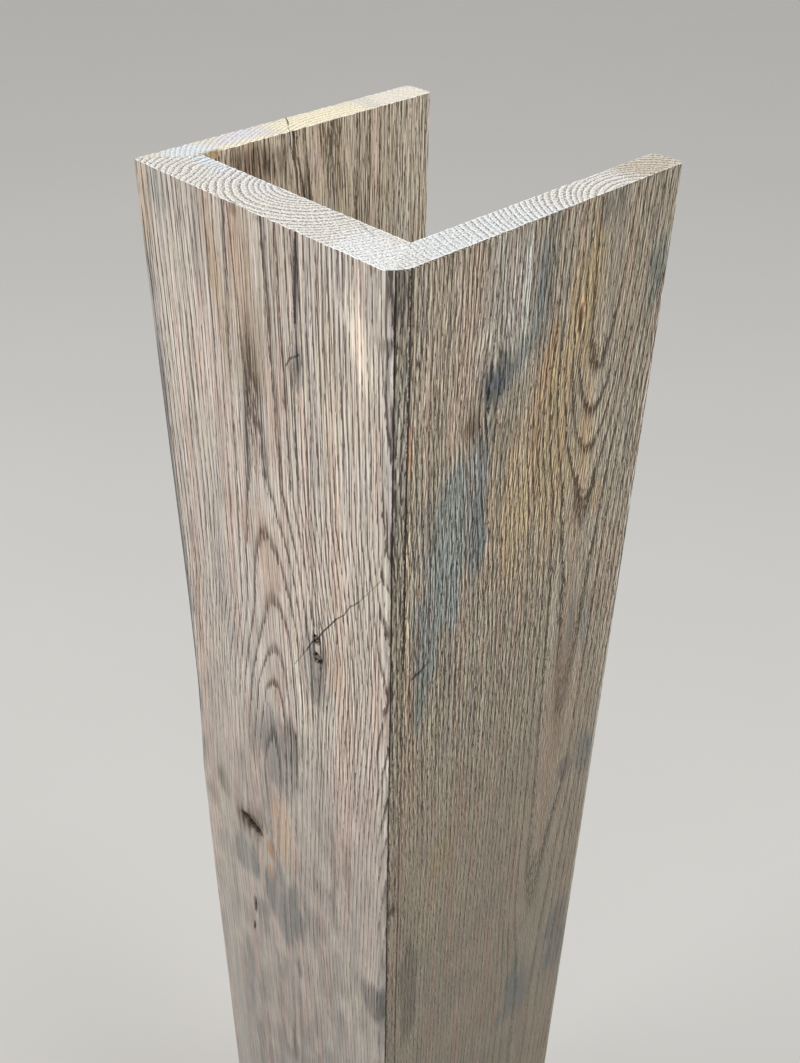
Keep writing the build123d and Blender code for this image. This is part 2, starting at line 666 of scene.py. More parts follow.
class Nodes:
    """Short ways to add and join shader nodes in one material."""

    def __init__(self, name: str) -> None:
        """Start a material that has only its output and a Principled shader."""
        self.material = bpy.data.materials.new(name)
        self.material.use_nodes = True
        self.tree = self.material.node_tree
        self.shader = self.tree.nodes["Principled BSDF"]

    def put(self, socket: Socket, value: Value) -> None:
        """Set an input, or join an output to it."""
        if isinstance(value, bpy.types.NodeSocket):
            self.tree.links.new(value, socket)
        elif isinstance(value, tuple) and socket.type == "RGBA" and len(value) == 3:
            socket.default_value = (*value, 1.0)
        else:
            socket.default_value = value

    def math(self, operation: str, *values: Value, clamp: bool = False) -> Socket:
        """Add one step of arithmetic."""
        node = self.tree.nodes.new("ShaderNodeMath")
        node.operation = operation
        node.use_clamp = clamp
        for socket, value in zip(node.inputs, values):
            self.put(socket, value)
        return node.outputs[0]

    def vector(self, operation: str, *values: Value, scale: Value = 1.0) -> Socket:
        """Add one step of vector arithmetic, and give its vector or its number."""
        node = self.tree.nodes.new("ShaderNodeVectorMath")
        node.operation = operation
        for socket, value in zip(node.inputs, values):
            self.put(socket, value)
        if operation == "SCALE":
            self.put(node.inputs["Scale"], scale)
        return node.outputs["Value" if operation in ("DOT_PRODUCT", "DISTANCE", "LENGTH") else "Vector"]

    def combine(self, x: Value, y: Value, z: Value) -> Socket:
        """Make a vector from three numbers."""
        node = self.tree.nodes.new("ShaderNodeCombineXYZ")
        for socket, value in zip(node.inputs, (x, y, z)):
            self.put(socket, value)
        return node.outputs[0]

    def split(self, vector: Socket) -> tuple[Socket, Socket, Socket]:
        """Take a vector apart into three numbers."""
        node = self.tree.nodes.new("ShaderNodeSeparateXYZ")
        self.put(node.inputs[0], vector)
        return tuple(node.outputs)

    def carried(self, name: str, output: str = "Vector") -> Socket:
        """Read what a board's vertices carry."""
        node = self.tree.nodes.new("ShaderNodeAttribute")
        node.attribute_name = name
        return node.outputs[output]

    def noise(self, vector: Socket, scale: float = 1.0, detail: float = 2.0, rough: float = 0.5) -> Socket:
        """Add smooth noise, 0 to 1, about 0.5 on average."""
        node = self.tree.nodes.new("ShaderNodeTexNoise")
        self.put(node.inputs["Vector"], vector)
        node.inputs["Scale"].default_value = scale
        node.inputs["Detail"].default_value = detail
        node.inputs["Roughness"].default_value = rough
        return node.outputs["Fac"]

    def centred(self, noise: Socket) -> Socket:
        """Take its average off a noise, so that it goes both ways."""
        return self.math("SUBTRACT", noise, 0.5)

    def add_share(self, total: Value, layer: Value, share: Value, clamp: bool = False) -> Socket:
        """Add a share of a layer to a total, or take it away where the share is negative."""
        return self.math("MULTIPLY_ADD", layer, share, total, clamp=clamp)

    def remap(self, value: Socket, low: Value, high: Value, start: Value = 0.0, end: Value = 1.0) -> Socket:
        """Stretch a range smoothly onto another."""
        node = self.tree.nodes.new("ShaderNodeMapRange")
        node.interpolation_type = "SMOOTHSTEP"
        for socket, number in zip(node.inputs, (value, low, high, start, end)):
            self.put(socket, number)
        return node.outputs[0]

    def ramp(self, value: Socket, stops: Sequence[tuple[float, Colour]]) -> Socket:
        """Turn a number into a colour."""
        node = self.tree.nodes.new("ShaderNodeValToRGB")
        elements = node.color_ramp.elements
        while len(elements) < len(stops):
            elements.new(0.5)
        for element, (place, colour) in zip(elements, stops):
            element.position = place
            element.color = (*colour, 1.0)
        self.put(node.inputs[0], value)
        return node.outputs["Color"]

    def mix(self, share: Value, first: Value, second: Value, blend: str = "MIX") -> Socket:
        """Mix two colours."""
        node = self.tree.nodes.new("ShaderNodeMix")
        node.data_type = "RGBA"
        node.blend_type = blend
        self.put(node.inputs["Factor"], share)
        self.put(node.inputs[6], first)
        self.put(node.inputs[7], second)
        return node.outputs[2]

    def bump(self, height: Socket, depth: float, strength: float) -> Socket:
        """Tilt the surface by a height, for relief finer than the mesh."""
        node = self.tree.nodes.new("ShaderNodeBump")
        node.inputs["Strength"].default_value = strength
        node.inputs["Distance"].default_value = depth
        self.put(node.inputs["Height"], height)
        return node.outputs[0]

    def finish(self, colour: Socket, rough: Value, normal: Socket, specular: float) -> bpy.types.Material:
        """Join everything to the shader and give the material."""
        self.put(self.shader.inputs["Base Color"], colour)
        self.put(self.shader.inputs["Roughness"], rough)
        self.put(self.shader.inputs["Normal"], normal)
        self.shader.inputs["Specular IOR Level"].default_value = specular
        return self.material


# How fine the waver of a split is, what is left of its width where it is thinnest, the share of
# its width that is darkest, and a distance that is away from every split, in millimetres
SHIVER_SCALE = 0.4
THINNEST = 0.1
DARKEST_SHARE = 0.45
FAR_AWAY = 99.0


def draw_splits(nodes: Nodes, place: Socket, cracks: Sequence[Crack], jitter: float) -> Socket:
    """Draw thin splits on a surface.

    Args:
        nodes: The material under way.
        place: Where each point of the surface is, in the splits' own two directions.
        cracks: The splits.
        jitter: How far they waver, in millimetres.

    Returns:
        A number near 1 in each split and 0 away from them.
    """
    shiver = nodes.noise(place, scale=SHIVER_SCALE, detail=3.0, rough=0.7)
    shift = nodes.math("MULTIPLY", nodes.centred(shiver), jitter)
    place = nodes.vector("ADD", place, nodes.combine(shift, 0.0, 0.0))
    shown: Value = 0.0
    for crack in cracks:
        nearest: Value = FAR_AWAY
        for (ax, az), (bx, bz) in zip(crack.points[:-1], crack.points[1:]):
            run = Vector((bx - ax, bz - az, 0))
            from_start = nodes.vector("SUBTRACT", place, (ax, az, 0.0))
            along = nodes.vector("DOT_PRODUCT", from_start, tuple(run / run.length_squared))
            along = nodes.math("ADD", along, 0.0, clamp=True)
            nearest_point = nodes.vector("SCALE", tuple(run), scale=along)
            gap = nodes.vector("DISTANCE", from_start, nearest_point)
            nearest = nodes.math("MINIMUM", nearest, gap)
        reach = nodes.math("MULTIPLY", crack.width, nodes.math("ADD", shiver, THINNEST))
        darkest = nodes.math("MULTIPLY", reach, DARKEST_SHARE)
        drawn = nodes.remap(nearest, darkest, reach, crack.strength, 0.0)
        shown = nodes.math("MAXIMUM", shown, drawn)
    return shown


# Dirt in splits and joints, the wood of a knot, and the faint washes of colour in aged oak
PITCH = tone(34, 26, 22)
KNOT_WOOD = tone(136, 116, 102)
NO_WASH = (1.0, 1.0, 1.0)
WARM_WASH = (1.0, 0.93, 0.89)
GREEN_WASH = (0.97, 1.0, 0.94)
COOL_WASH = (0.9, 0.93, 0.96)


@dataclass(frozen=True)
class Grain:
    """Where each place lies in the grain: its fibre, its distance down, and its ring."""

    fibre: Socket
    below: Socket
    ring: Socket

    def beside(self, nodes: Nodes, step: float) -> "Grain":
        """Give the place a step to the side, in millimetres."""
        return Grain(nodes.math("ADD", self.fibre, step), self.below, self.ring)


class Layer(Enum):
    """The slices of one noise that the brushed finish is layered from."""

    LINES = 1.5
    HAIRS = 5.5
    BANDS = 9.5
    DASHES = 13.5
    FINE = 17.5
    DRIFT = 21.5
    BUNCHES = 29.5


@dataclass(frozen=True)
class BrushedOak:
    """Aged oak, wire-brushed so that the soft early wood is cut back and holds dirt.

    Attributes:
        name: Name of the material.
        groove: Colour of the dirt in the brushed grooves.
        body: Colour of most of the wood.
        ridge: Colour of the hard ridges that the brush has rubbed pale.
        line_width: Width of a brushed line, in millimetres.
        line_length: Length of a brushed line, in millimetres.
        line_depth: How dark the brushed lines are, 0 to 1.
        pore_width: Width of a pore dash, in millimetres.
        pore_length: Length of a pore dash, in millimetres.
        pore_depth: How dark the pore dashes are, 0 to 1.
        hair_width: Width of the finest streaks, in millimetres.
        hair_length: Length of the finest streaks, in millimetres.
        hair_depth: How much they vary, 0 to 1.
        ring_depth: How dark the early wood of each ring is, 0 to 1.
        level: Where the wood lies between groove and ridge before lines and pores darken it, 0 to 1.
        washes: Faint colours that run along the grain in narrow bands.
    """

    # Bumps of the layers that all boards share, in millimetres across and along the grain
    BAND_SIZE: ClassVar[Pair] = (5.5, 150.0)
    BUNCH_SIZE: ClassVar[Pair] = (9.0, 130.0)
    DRIFT_SIZE: ClassVar[Pair] = (8.0, 140.0)
    FINE_WIDTH: ClassVar[float] = 0.6
    FINE_STRETCH: ClassVar[float] = 1.4

    # How far aside a line's lit edge and the next hair lie, as shares of their widths
    LIT_STEP: ClassVar[float] = 0.8
    HAIR_STEP: ClassVar[float] = 1.2

    # Between which values of its noise each layer shows or fades
    LINE_FADE: ClassVar[Pair] = (0.38, 0.49)
    LIT_FADE: ClassVar[Pair] = (0.36, 0.45)
    FINE_DARK_FADE: ClassVar[Pair] = (0.36, 0.44)
    FINE_PALE_FADE: ClassVar[Pair] = (0.57, 0.65)
    PORE_FADE: ClassVar[Pair] = (0.6, 0.7)
    BUNCH_FADE: ClassVar[Pair] = (0.36, 0.62)
    BUNCH_GAIN: ClassVar[Pair] = (0.65, 1.35)
    EARLY_WOOD: ClassVar[Hump] = Hump(0.0, 0.1, 0.16, 0.44)
    RING_WOBBLE: ClassVar[float] = 0.5
    EARLY_PORES: ClassVar[float] = 0.15

    # How much each layer changes the relief, the last three as shares of the lines' depth
    BAND_DEPTH: ClassVar[float] = 0.18
    LIT_SHARE: ClassVar[float] = 0.6
    FINE_DARK_SHARE: ClassVar[float] = 0.5
    FINE_PALE_SHARE: ClassVar[float] = 0.4

    # The relief that contrast leaves alone, and how stains take on bands and lines
    PIVOT: ClassVar[float] = 0.45
    STAIN_BANDS: ClassVar[float] = 1.6
    STAIN_LINES: ClassVar[float] = 1.2
    STAIN_LESS: ClassVar[float] = 0.4

    # Places on the relief of groove, body and ridge, and on the drift of the washes
    TONE_STOPS: ClassVar[tuple[float, ...]] = (0.08, 0.55, 0.98)
    WASH_STOPS: ClassVar[tuple[float, ...]] = (0.36, 0.47, 0.54, 0.66)

    # How ragged a knot is, where its rim fades, and where its core does and how well it covers
    KNOT_SHAKE: ClassVar[float] = 1.1
    KNOT_RIM: ClassVar[Pair] = (0.72, 1.08)
    KNOT_CORE: ClassVar[Pair] = (1.2, 1.9)
    KNOT_CORE_COVER: ClassVar[float] = 0.85

    # The dark line of a joint, in millimetres from it, and how far splits waver
    JOINT_RAGGED: ClassVar[float] = 1.2
    JOINT_FADE: ClassVar[Pair] = (0.35, 0.85)
    JOINT_COVER: ClassVar[float] = 0.96
    SPLIT_JITTER: ClassVar[float] = 1.6

    # How brushing, grime and relief act on the surface and its shine
    BRUSHED_DEPTH: ClassVar[float] = 0.12
    GRIME_DEPTH: ClassVar[float] = 0.84
    BUMP_DEPTH: ClassVar[float] = 0.5 * MM
    BUMP_STRENGTH: ClassVar[float] = 0.6
    GROOVE_ROUGHNESS: ClassVar[float] = 0.92
    RIDGE_ROUGHNESS: ClassVar[float] = 0.72
    SHEEN: ClassVar[float] = 0.25

    name: str
    groove: Colour
    body: Colour
    ridge: Colour
    line_width: float = 0.9
    line_length: float = 60.0
    line_depth: float = 0.3
    pore_width: float = 0.55
    pore_length: float = 8.0
    pore_depth: float = 0.24
    hair_width: float = 0.85
    hair_length: float = 24.0
    hair_depth: float = 0.42
    ring_depth: float = 0.1
    level: float = 0.55
    washes: tuple[Colour, ...] = (WARM_WASH, NO_WASH, GREEN_WASH, COOL_WASH)

    @staticmethod
    def _drawn_out(nodes: Nodes, grain: Grain, size: Pair, layer: Layer, detail: float) -> Socket:
        """Add noise drawn out along the grain, its bumps so wide and so long in millimetres."""
        aside = nodes.math("MULTIPLY", grain.fibre, 1 / size[0])
        along = nodes.math("MULTIPLY", grain.below, 1 / size[1])
        return nodes.noise(nodes.combine(aside, along, layer.value), detail=detail, rough=0.55)

    def _height(self, nodes: Nodes, grain: Grain) -> tuple[Socket, Socket]:
        """Work out the brushed relief.

        Args:
            nodes: The material under way.
            grain: Where each place lies in the grain.

        Returns:
            The relief, 0 in the deepest groove and 1 on a hard ridge, and how well each streak
            of the grain takes a stain, about 1.
        """
        line_size = (self.line_width, self.line_length)
        beside = grain.beside(nodes, self.line_width * self.LIT_STEP)
        lines = self._drawn_out(nodes, grain, line_size, Layer.LINES, 1.0)
        lit = self._drawn_out(nodes, beside, line_size, Layer.LINES, 1.0)
        hair_size = (self.hair_width, self.hair_length)
        beside = grain.beside(nodes, self.hair_width * self.HAIR_STEP)
        hairs = self._drawn_out(nodes, grain, hair_size, Layer.HAIRS, 0.0)
        hairs = nodes.math("SUBTRACT", hairs, self._drawn_out(nodes, beside, hair_size, Layer.HAIRS, 0.0))
        fine_size = (self.FINE_WIDTH, self.hair_length * self.FINE_STRETCH)
        fine = self._drawn_out(nodes, grain, fine_size, Layer.FINE, 0.0)
        bands = self._drawn_out(nodes, grain, self.BAND_SIZE, Layer.BANDS, 2.0)
        bunches = self._drawn_out(nodes, grain, self.BUNCH_SIZE, Layer.BUNCHES, 1.0)
        bunches = nodes.remap(bunches, *self.BUNCH_FADE, *self.BUNCH_GAIN)
        dashes = self._drawn_out(nodes, grain, (self.pore_width, self.pore_length), Layer.DASHES, 1.0)
        wobble = nodes.math("MULTIPLY", nodes.centred(dashes), self.RING_WOBBLE)
        phase = nodes.math("FRACT", nodes.math("ADD", grain.ring, wobble))
        early = self.EARLY_WOOD.drawn(nodes, phase)
        pores = nodes.remap(nodes.add_share(dashes, early, self.EARLY_PORES), *self.PORE_FADE)
        height = nodes.add_share(self.level, hairs, self.hair_depth)
        height = nodes.add_share(height, nodes.centred(bands), self.BAND_DEPTH)
        dark = nodes.math("MULTIPLY", nodes.remap(lines, *self.LINE_FADE, 1.0, 0.0), bunches)
        height = nodes.add_share(height, dark, -self.line_depth)
        lit = nodes.remap(lit, *self.LIT_FADE, 1.0, 0.0)
        height = nodes.add_share(height, lit, self.line_depth * self.LIT_SHARE)
        fine_dark = nodes.remap(fine, *self.FINE_DARK_FADE, 1.0, 0.0)
        height = nodes.add_share(height, fine_dark, -self.line_depth * self.FINE_DARK_SHARE)
        fine_pale = nodes.remap(fine, *self.FINE_PALE_FADE)
        height = nodes.add_share(height, fine_pale, self.line_depth * self.FINE_PALE_SHARE)
        height = nodes.add_share(height, pores, -self.pore_depth)
        height = nodes.add_share(height, early, -self.ring_depth)
        away = nodes.math("SUBTRACT", height, self.PIVOT)
        height = nodes.add_share(self.PIVOT, away, nodes.carried("contrast", "Fac"), clamp=True)
        on_bands = nodes.math("MULTIPLY", bands, self.STAIN_BANDS)
        on_lines = nodes.math("MULTIPLY", lines, self.STAIN_LINES)
        return height, nodes.math("SUBTRACT", nodes.math("ADD", on_bands, on_lines), self.STAIN_LESS)

    def _knots(self, nodes: Nodes, place: Socket, knots: Sequence[Knot]) -> tuple[Socket, Socket]:
        """Draw the knots, as how far each place is black rim and how far it is knot wood."""
        shake = nodes.centred(nodes.noise(place, scale=0.75, detail=3.0, rough=0.7))
        rims: Value = 0.0
        cores: Value = 0.0
        for knot in knots:
            turn = math.radians(knot.lean)
            from_middle = nodes.vector("SUBTRACT", place, (knot.across, knot.below, 0.0))
            wide = (math.cos(turn) * 2 / knot.width, -math.sin(turn) * 2 / knot.width, 0.0)
            high = (math.sin(turn) * 2 / knot.height, math.cos(turn) * 2 / knot.height, 0.0)
            turned = nodes.combine(
                nodes.vector("DOT_PRODUCT", from_middle, wide),
                nodes.vector("DOT_PRODUCT", from_middle, high),
                0.0,
            )
            reach = nodes.add_share(nodes.vector("LENGTH", turned), shake, self.KNOT_SHAKE)
            rim = nodes.remap(reach, *self.KNOT_RIM, knot.darkness, 0.0)
            rims = nodes.math("MAXIMUM", rims, rim)
            if knot.core:
                core_from, core_to = (knot.core * share for share in self.KNOT_CORE)
                core = nodes.remap(reach, core_from, core_to, self.KNOT_CORE_COVER, 0.0)
                cores = nodes.math("MAXIMUM", cores, core)
        return rims, cores

    def material(self, cracks: Sequence[Crack], knots: Sequence[Knot]) -> bpy.types.Material:
        """Build the finish.

        Args:
            cracks: The splits in the board's best face.
            knots: The knots in it.

        Returns:
            The material.
        """
        nodes = Nodes(self.name)
        grain = Grain(*nodes.split(nodes.carried("grain")))
        brushed, grime, best = nodes.split(nodes.carried("age"))
        across, below, _ = nodes.split(nodes.carried("place"))
        height, takes = self._height(nodes, grain)
        tones = zip(self.TONE_STOPS, (self.groove, self.body, self.ridge))
        colour = nodes.ramp(height, list(tones))
        drift = self._drawn_out(nodes, grain, self.DRIFT_SIZE, Layer.DRIFT, 2.0)
        washes = zip(self.WASH_STOPS, self.washes)
        colour = nodes.mix(1.0, colour, nodes.ramp(drift, list(washes)), "MULTIPLY")
        cover = nodes.math("MULTIPLY", nodes.carried("stain", "Alpha"), takes, clamp=True)
        tint = nodes.vector("DIVIDE", nodes.carried("stain", "Color"), self.body)
        colour = nodes.mix(cover, colour, nodes.vector("MULTIPLY", colour, tint))
        place = nodes.combine(across, below, 0.0)
        if knots:
            rims, cores = self._knots(nodes, place, knots)
            colour = nodes.mix(nodes.math("MULTIPLY", rims, best), colour, PITCH)
            colour = nodes.mix(nodes.math("MULTIPLY", cores, best), colour, KNOT_WOOD)
        if cracks:
            split_open = draw_splits(nodes, place, cracks, self.SPLIT_JITTER)
            colour = nodes.mix(nodes.math("MULTIPLY", split_open, best), colour, PITCH)
        patchy = nodes.centred(nodes.noise(place, scale=0.09, detail=3.0, rough=0.7))
        gap = nodes.add_share(nodes.carried("edge", "Fac"), patchy, -self.JOINT_RAGGED)
        joint = nodes.remap(gap, *self.JOINT_FADE, self.JOINT_COVER, 0.0)
        colour = nodes.mix(joint, colour, PITCH)
        height = nodes.add_share(height, brushed, -self.BRUSHED_DEPTH)
        clean = nodes.add_share(1.0, grime, -self.GRIME_DEPTH)
        colour = nodes.vector("SCALE", colour, scale=clean)
        normal = nodes.bump(height, self.BUMP_DEPTH, self.BUMP_STRENGTH)
        rough = nodes.remap(height, 0.0, 1.0, self.GROOVE_ROUGHNESS, self.RIDGE_ROUGHNESS)
        return nodes.finish(colour, rough, normal, self.SHEEN)


@dataclass(frozen=True)
class SawnOak:
    """A fresh saw cut across the grain, pale, with its rings, rays and torn fibres.

    Attributes:
        name: Name of the material.
        early: Colour of the dotted early wood.
        base: Colour between the rings.
        late: Colour of the torn, fluffy ring lines.
        fade: From where to where across the board the rings grow faint, in millimetres.
    """

    # Each ring is a torn late line, then dotted early wood, and wobbles by a share of a ring
    LATE_WOOD: ClassVar[Hump] = Hump(0.0, 0.06, 0.12, 0.26)
    EARLY_WOOD: ClassVar[Hump] = Hump(0.16, 0.28, 0.5, 0.72)
    RING_WOBBLE: ClassVar[float] = 0.34
    FAINTEST: ClassVar[float] = 0.35

    # Between which values of its noise each layer shows, and the torn rim in millimetres
    DOT_FADE: ClassVar[Pair] = (0.46, 0.58)
    RAY_SCALE: ClassVar[float] = 1.1
    RAY_FADE: ClassVar[Pair] = (0.56, 0.7)
    RIM_RAGGED: ClassVar[float] = 1.6
    RIM_FADE: ClassVar[Pair] = (-0.5, 0.4)

    # The relief between the rings, and how much each layer changes it
    LEVEL: ClassVar[float] = 0.6
    SPECKLE_DEPTH: ClassVar[float] = 3.0
    LATE_DEPTH: ClassVar[float] = 0.42
    DOT_DEPTH: ClassVar[float] = 1.0
    EARLY_DEPTH: ClassVar[float] = 0.08
    RAY_DEPTH: ClassVar[float] = 0.14
    RIM_DEPTH: ClassVar[float] = 0.5

    # Places on the relief of early, base and late, and how the surface takes dirt and light
    TONE_STOPS: ClassVar[tuple[float, ...]] = (0.05, 0.5, 0.92)
    SPLIT_JITTER: ClassVar[float] = 0.6
    GRIME_DEPTH: ClassVar[float] = 0.8
    BUMP_DEPTH: ClassVar[float] = 0.3 * MM
    BUMP_STRENGTH: ClassVar[float] = 0.5
    ROUGHNESS: ClassVar[float] = 0.9
    SHEEN: ClassVar[float] = 0.2

    name: str
    early: Colour = tone(166, 160, 150)
    base: Colour = tone(215, 211, 203)
    late: Colour = tone(249, 247, 243)
    fade: tuple[float, float] = (400.0, 500.0)

    def material(self, thickness: float, cracks: Sequence[Crack]) -> bpy.types.Material:
        """Build the finish.

        Args:
            thickness: The board's thickness, in millimetres.
            cracks: The splits in the end, drawn across the board and into it.

        Returns:
            The material.
        """
        nodes = Nodes(self.name)
        ring = nodes.split(nodes.carried("grain"))[2]
        across, _, into = nodes.split(nodes.carried("place"))
        place = nodes.combine(across, into, 0.0)
        fluff = nodes.noise(place, scale=0.5, detail=3.0, rough=0.7)
        speckle = nodes.noise(place, scale=0.95, detail=2.0, rough=0.7)
        dots = nodes.remap(nodes.noise(place, scale=1.15, detail=1.0), *self.DOT_FADE)
        round_pith = nodes.math("MULTIPLY", nodes.carried("ray", "Fac"), self.RAY_SCALE)
        rays = nodes.noise(nodes.combine(round_pith, ring, 0.0), detail=1.0)
        rays = nodes.remap(rays, *self.RAY_FADE)
        wobble = nodes.math("MULTIPLY", nodes.centred(fluff), self.RING_WOBBLE)
        phase = nodes.math("FRACT", nodes.math("ADD", ring, wobble))
        line = self.LATE_WOOD.drawn(nodes, phase)
        early = self.EARLY_WOOD.drawn(nodes, phase)
        edge = nodes.math("MINIMUM", into, nodes.math("SUBTRACT", thickness, into))
        rim = nodes.remap(nodes.add_share(edge, fluff, -self.RIM_RAGGED), *self.RIM_FADE, 1.0, 0.0)
        shown = nodes.remap(across, *self.fade, 1.0, self.FAINTEST)
        early = nodes.math("MULTIPLY", early, shown)
        height = nodes.add_share(self.LEVEL, nodes.centred(speckle), self.SPECKLE_DEPTH)
        height = nodes.add_share(height, nodes.math("MULTIPLY", line, shown), self.LATE_DEPTH)
        height = nodes.add_share(height, nodes.math("MULTIPLY", early, dots), -self.DOT_DEPTH)
        height = nodes.add_share(height, early, -self.EARLY_DEPTH)
        height = nodes.add_share(height, rays, self.RAY_DEPTH)
        height = nodes.add_share(height, rim, self.RIM_DEPTH, clamp=True)
        tones = zip(self.TONE_STOPS, (self.early, self.base, self.late))
        colour = nodes.ramp(height, list(tones))
        tint = nodes.vector("DIVIDE", nodes.carried("end_stain", "Color"), self.base)
        cover = nodes.carried("end_stain", "Alpha")
        colour = nodes.mix(cover, colour, nodes.vector("MULTIPLY", colour, tint))
        if cracks:
            split_open = draw_splits(nodes, place, cracks, self.SPLIT_JITTER)
            colour = nodes.mix(split_open, colour, PITCH)
            height = nodes.math("SUBTRACT", height, split_open)
        grime = nodes.split(nodes.carried("age"))[1]
        clean = nodes.add_share(1.0, grime, -self.GRIME_DEPTH)
        colour = nodes.vector("SCALE", colour, scale=clean)
        normal = nodes.bump(height, self.BUMP_DEPTH, self.BUMP_STRENGTH)
        return nodes.finish(colour, self.ROUGHNESS, normal, self.SHEEN)


class Draw(Enum):
    """Which noise of a board each of its irregularities reads, counted from the board's seed."""

    SWELL = 20
    STREAKS = 21
    TORN_END = 30
    FACE_STAINS = 40
    BACK_STAINS = 41
    END_STAINS = 42


@dataclass(frozen=True)
class Lull:
    """A patch of a board where the brushing shows less, in millimetres, and how much less."""

    across: float
    below: float
    reach_across: float
    reach_below: float
    loss: float

    def left(self, across: Array, below: Array) -> Array:
        """Give the share of the brushing that is left at each place."""
        near = bell(across, self.across, self.reach_across) * bell(below, self.below, self.reach_below)
        return 1 - self.loss * near


@dataclass
class Board(ABC):
    """One sawn board of the beam.

    Attributes:
        section: The beam's section and length.
        node: Name of the board in the frame.
        slot: The record's material slot; not used.
        growth: The log's rings.
        finish: Its brushed faces.
        end_finish: Its sawn ends.
        stains: Patches of colour on its best face.
        back_stains: Patches of colour on its other face.
        end_stains: Patches of colour on its top end.
        cracks: Splits in its best face.
        tears: Torn-out places in its best face.
        knots: Dark knots in its best face.
        end_cracks: Splits in its top end, drawn across the board and into it.
        chips: Pieces broken out of the inner edge of its top end.
        zones: Where the stations are closer.
        seed: Which small irregularities it has.
        station_count: How many stations it has down its length.
        layers: How many steps go through its thickness.
        skin: How far its brushed faces lie below the plain board, in millimetres.
        best_wall: The face that is seen most.
        lulls: Patches where its brushing shows less.
    """

    # Every board has closer stations at its top end and down its upper part
    SHARED_ZONES: ClassVar[tuple[Zone, ...]] = (Zone(0, 16, 1.6), Zone(160, 280, 1.1))

    # Swells and brushed streaks of the faces, how much streaks and early wood count in the
    # brushing, how deep it goes, and how far a swell may rise, as a share of the skin
    BROAD_SWELL: ClassVar[Ripple] = Ripple(0.10, 38.0, 210.0)
    SMALL_SWELL: ClassVar[Ripple] = Ripple(0.05, 13.0, 90.0)
    LONG_STREAK: ClassVar[Ripple] = Ripple(1.0, 2.4, 60.0)
    SHORT_STREAK: ClassVar[Ripple] = Ripple(0.6, 1.5, 30.0, shift=60.0)
    RING_WOBBLE: ClassVar[Ripple] = Ripple(0.12, 2.0, 9.0)
    EARLY_WOOD: ClassVar[Hump] = Hump(0.0, 0.18, 0.3, 0.62)
    STREAK_SHARE: ClassVar[float] = 0.34
    EARLY_SHARE: ClassVar[float] = 0.42
    BRUSHED_DEPTH: ClassVar[float] = 0.16
    HIGHEST_SWELL: ClassVar[float] = 0.5

    # Ragged outlines of tears and knots, where they deepen, and the dish round a knot
    TEAR_OUTLINE: ClassVar[Ripple] = Ripple(0.5, 1.3, 5.0)
    TEAR_WALL: ClassVar[Pair] = (0.55, 1.05)
    KNOT_OUTLINE: ClassVar[Ripple] = Ripple(0.16, 1.7, 1.7)
    KNOT_WALL: ClassVar[Pair] = (0.5, 1.0)
    CORE_WALL: ClassVar[float] = 0.25
    DISH: ClassVar[Pair] = (1.0, 1.5)
    DISH_DEPTH: ClassVar[float] = 0.15

    # The sawn top: how low it lies, its proud late wood, its torn fibres and the teeth at its edges
    END_DEPTH: ClassVar[float] = 0.22
    LATE_WOOD: ClassVar[Hump] = Hump(0.0, 0.12, 0.2, 0.4)
    LATE_HEIGHT: ClassVar[float] = 0.09
    LONG_TEARING: ClassVar[Ripple] = Ripple(0.05, 2.2, 9.0)
    FINE_TEARING: ClassVar[Ripple] = Ripple(0.05, 0.9, 0.9)
    TEETH: ClassVar[Ripple] = Ripple(0.45, 1.2, 6.0, shift=50.0)
    TEETH_REACH: ClassVar[Pair] = (0.2, 1.4)

    # How plainly the brushing shows at the top, and how much less it does further down
    TOP_CONTRAST: ClassVar[float] = 1.6
    CONTRAST_FALLS: ClassVar[tuple[tuple[float, float, float], ...]] = ((0.85, 260, 430), (0.3, 430, 700))

    # How near an end counts as on it, in millimetres, and from which angle on an edge is crisp
    AT_END: ClassVar[float] = 1e-3
    CRISP_ANGLE: ClassVar[float] = 38.0

    section: Section
    node: str
    slot: str
    growth: Growth
    finish: BrushedOak
    end_finish: SawnOak
    stains: tuple[Stain, ...] = ()
    back_stains: tuple[Stain, ...] = ()
    end_stains: tuple[Stain, ...] = ()
    cracks: tuple[Crack, ...] = ()
    tears: tuple[Tear, ...] = ()
    knots: tuple[Knot, ...] = ()
    end_cracks: tuple[Crack, ...] = ()
    chips: tuple[Chip, ...] = ()
    zones: tuple[Zone, ...] = ()
    seed: int = 1
    station_count: int = 292
    layers: int = 8
    skin: float = 0.22
    best_wall: Wall = Wall.OUTER
    lulls: tuple[Lull, ...] = ()

    @abstractmethod
    def thickness(self) -> float:
        """Give the board's thickness, in millimetres."""

    @abstractmethod
    def columns(self, below: Array) -> tuple[Array, Array]:
        """Give the outer and inner columns at each station, in metres."""

    @abstractmethod
    def inward(self) -> Array:
        """Give the unit direction from the outer face into the board."""

    @abstractmethod
    def place(self, vertices: Array) -> tuple[Array, Array]:
        """Give how far across the board and how far into it each vertex lies, in millimetres."""

    @abstractmethod
    def joint_gap(self, vertices: Array) -> Array:
        """Give each vertex's distance from the nearest mitre, in millimetres."""

    def stations(self) -> Array:
        """Give the stations below the top end, in millimetres."""
        return graded(self.section.length / MM, self.station_count, self.SHARED_ZONES + self.zones)

    def noise(self, draw: Draw) -> Roughness:
        """Give the noise of one of the board's irregularities."""
        return Roughness(self.seed + draw.value)

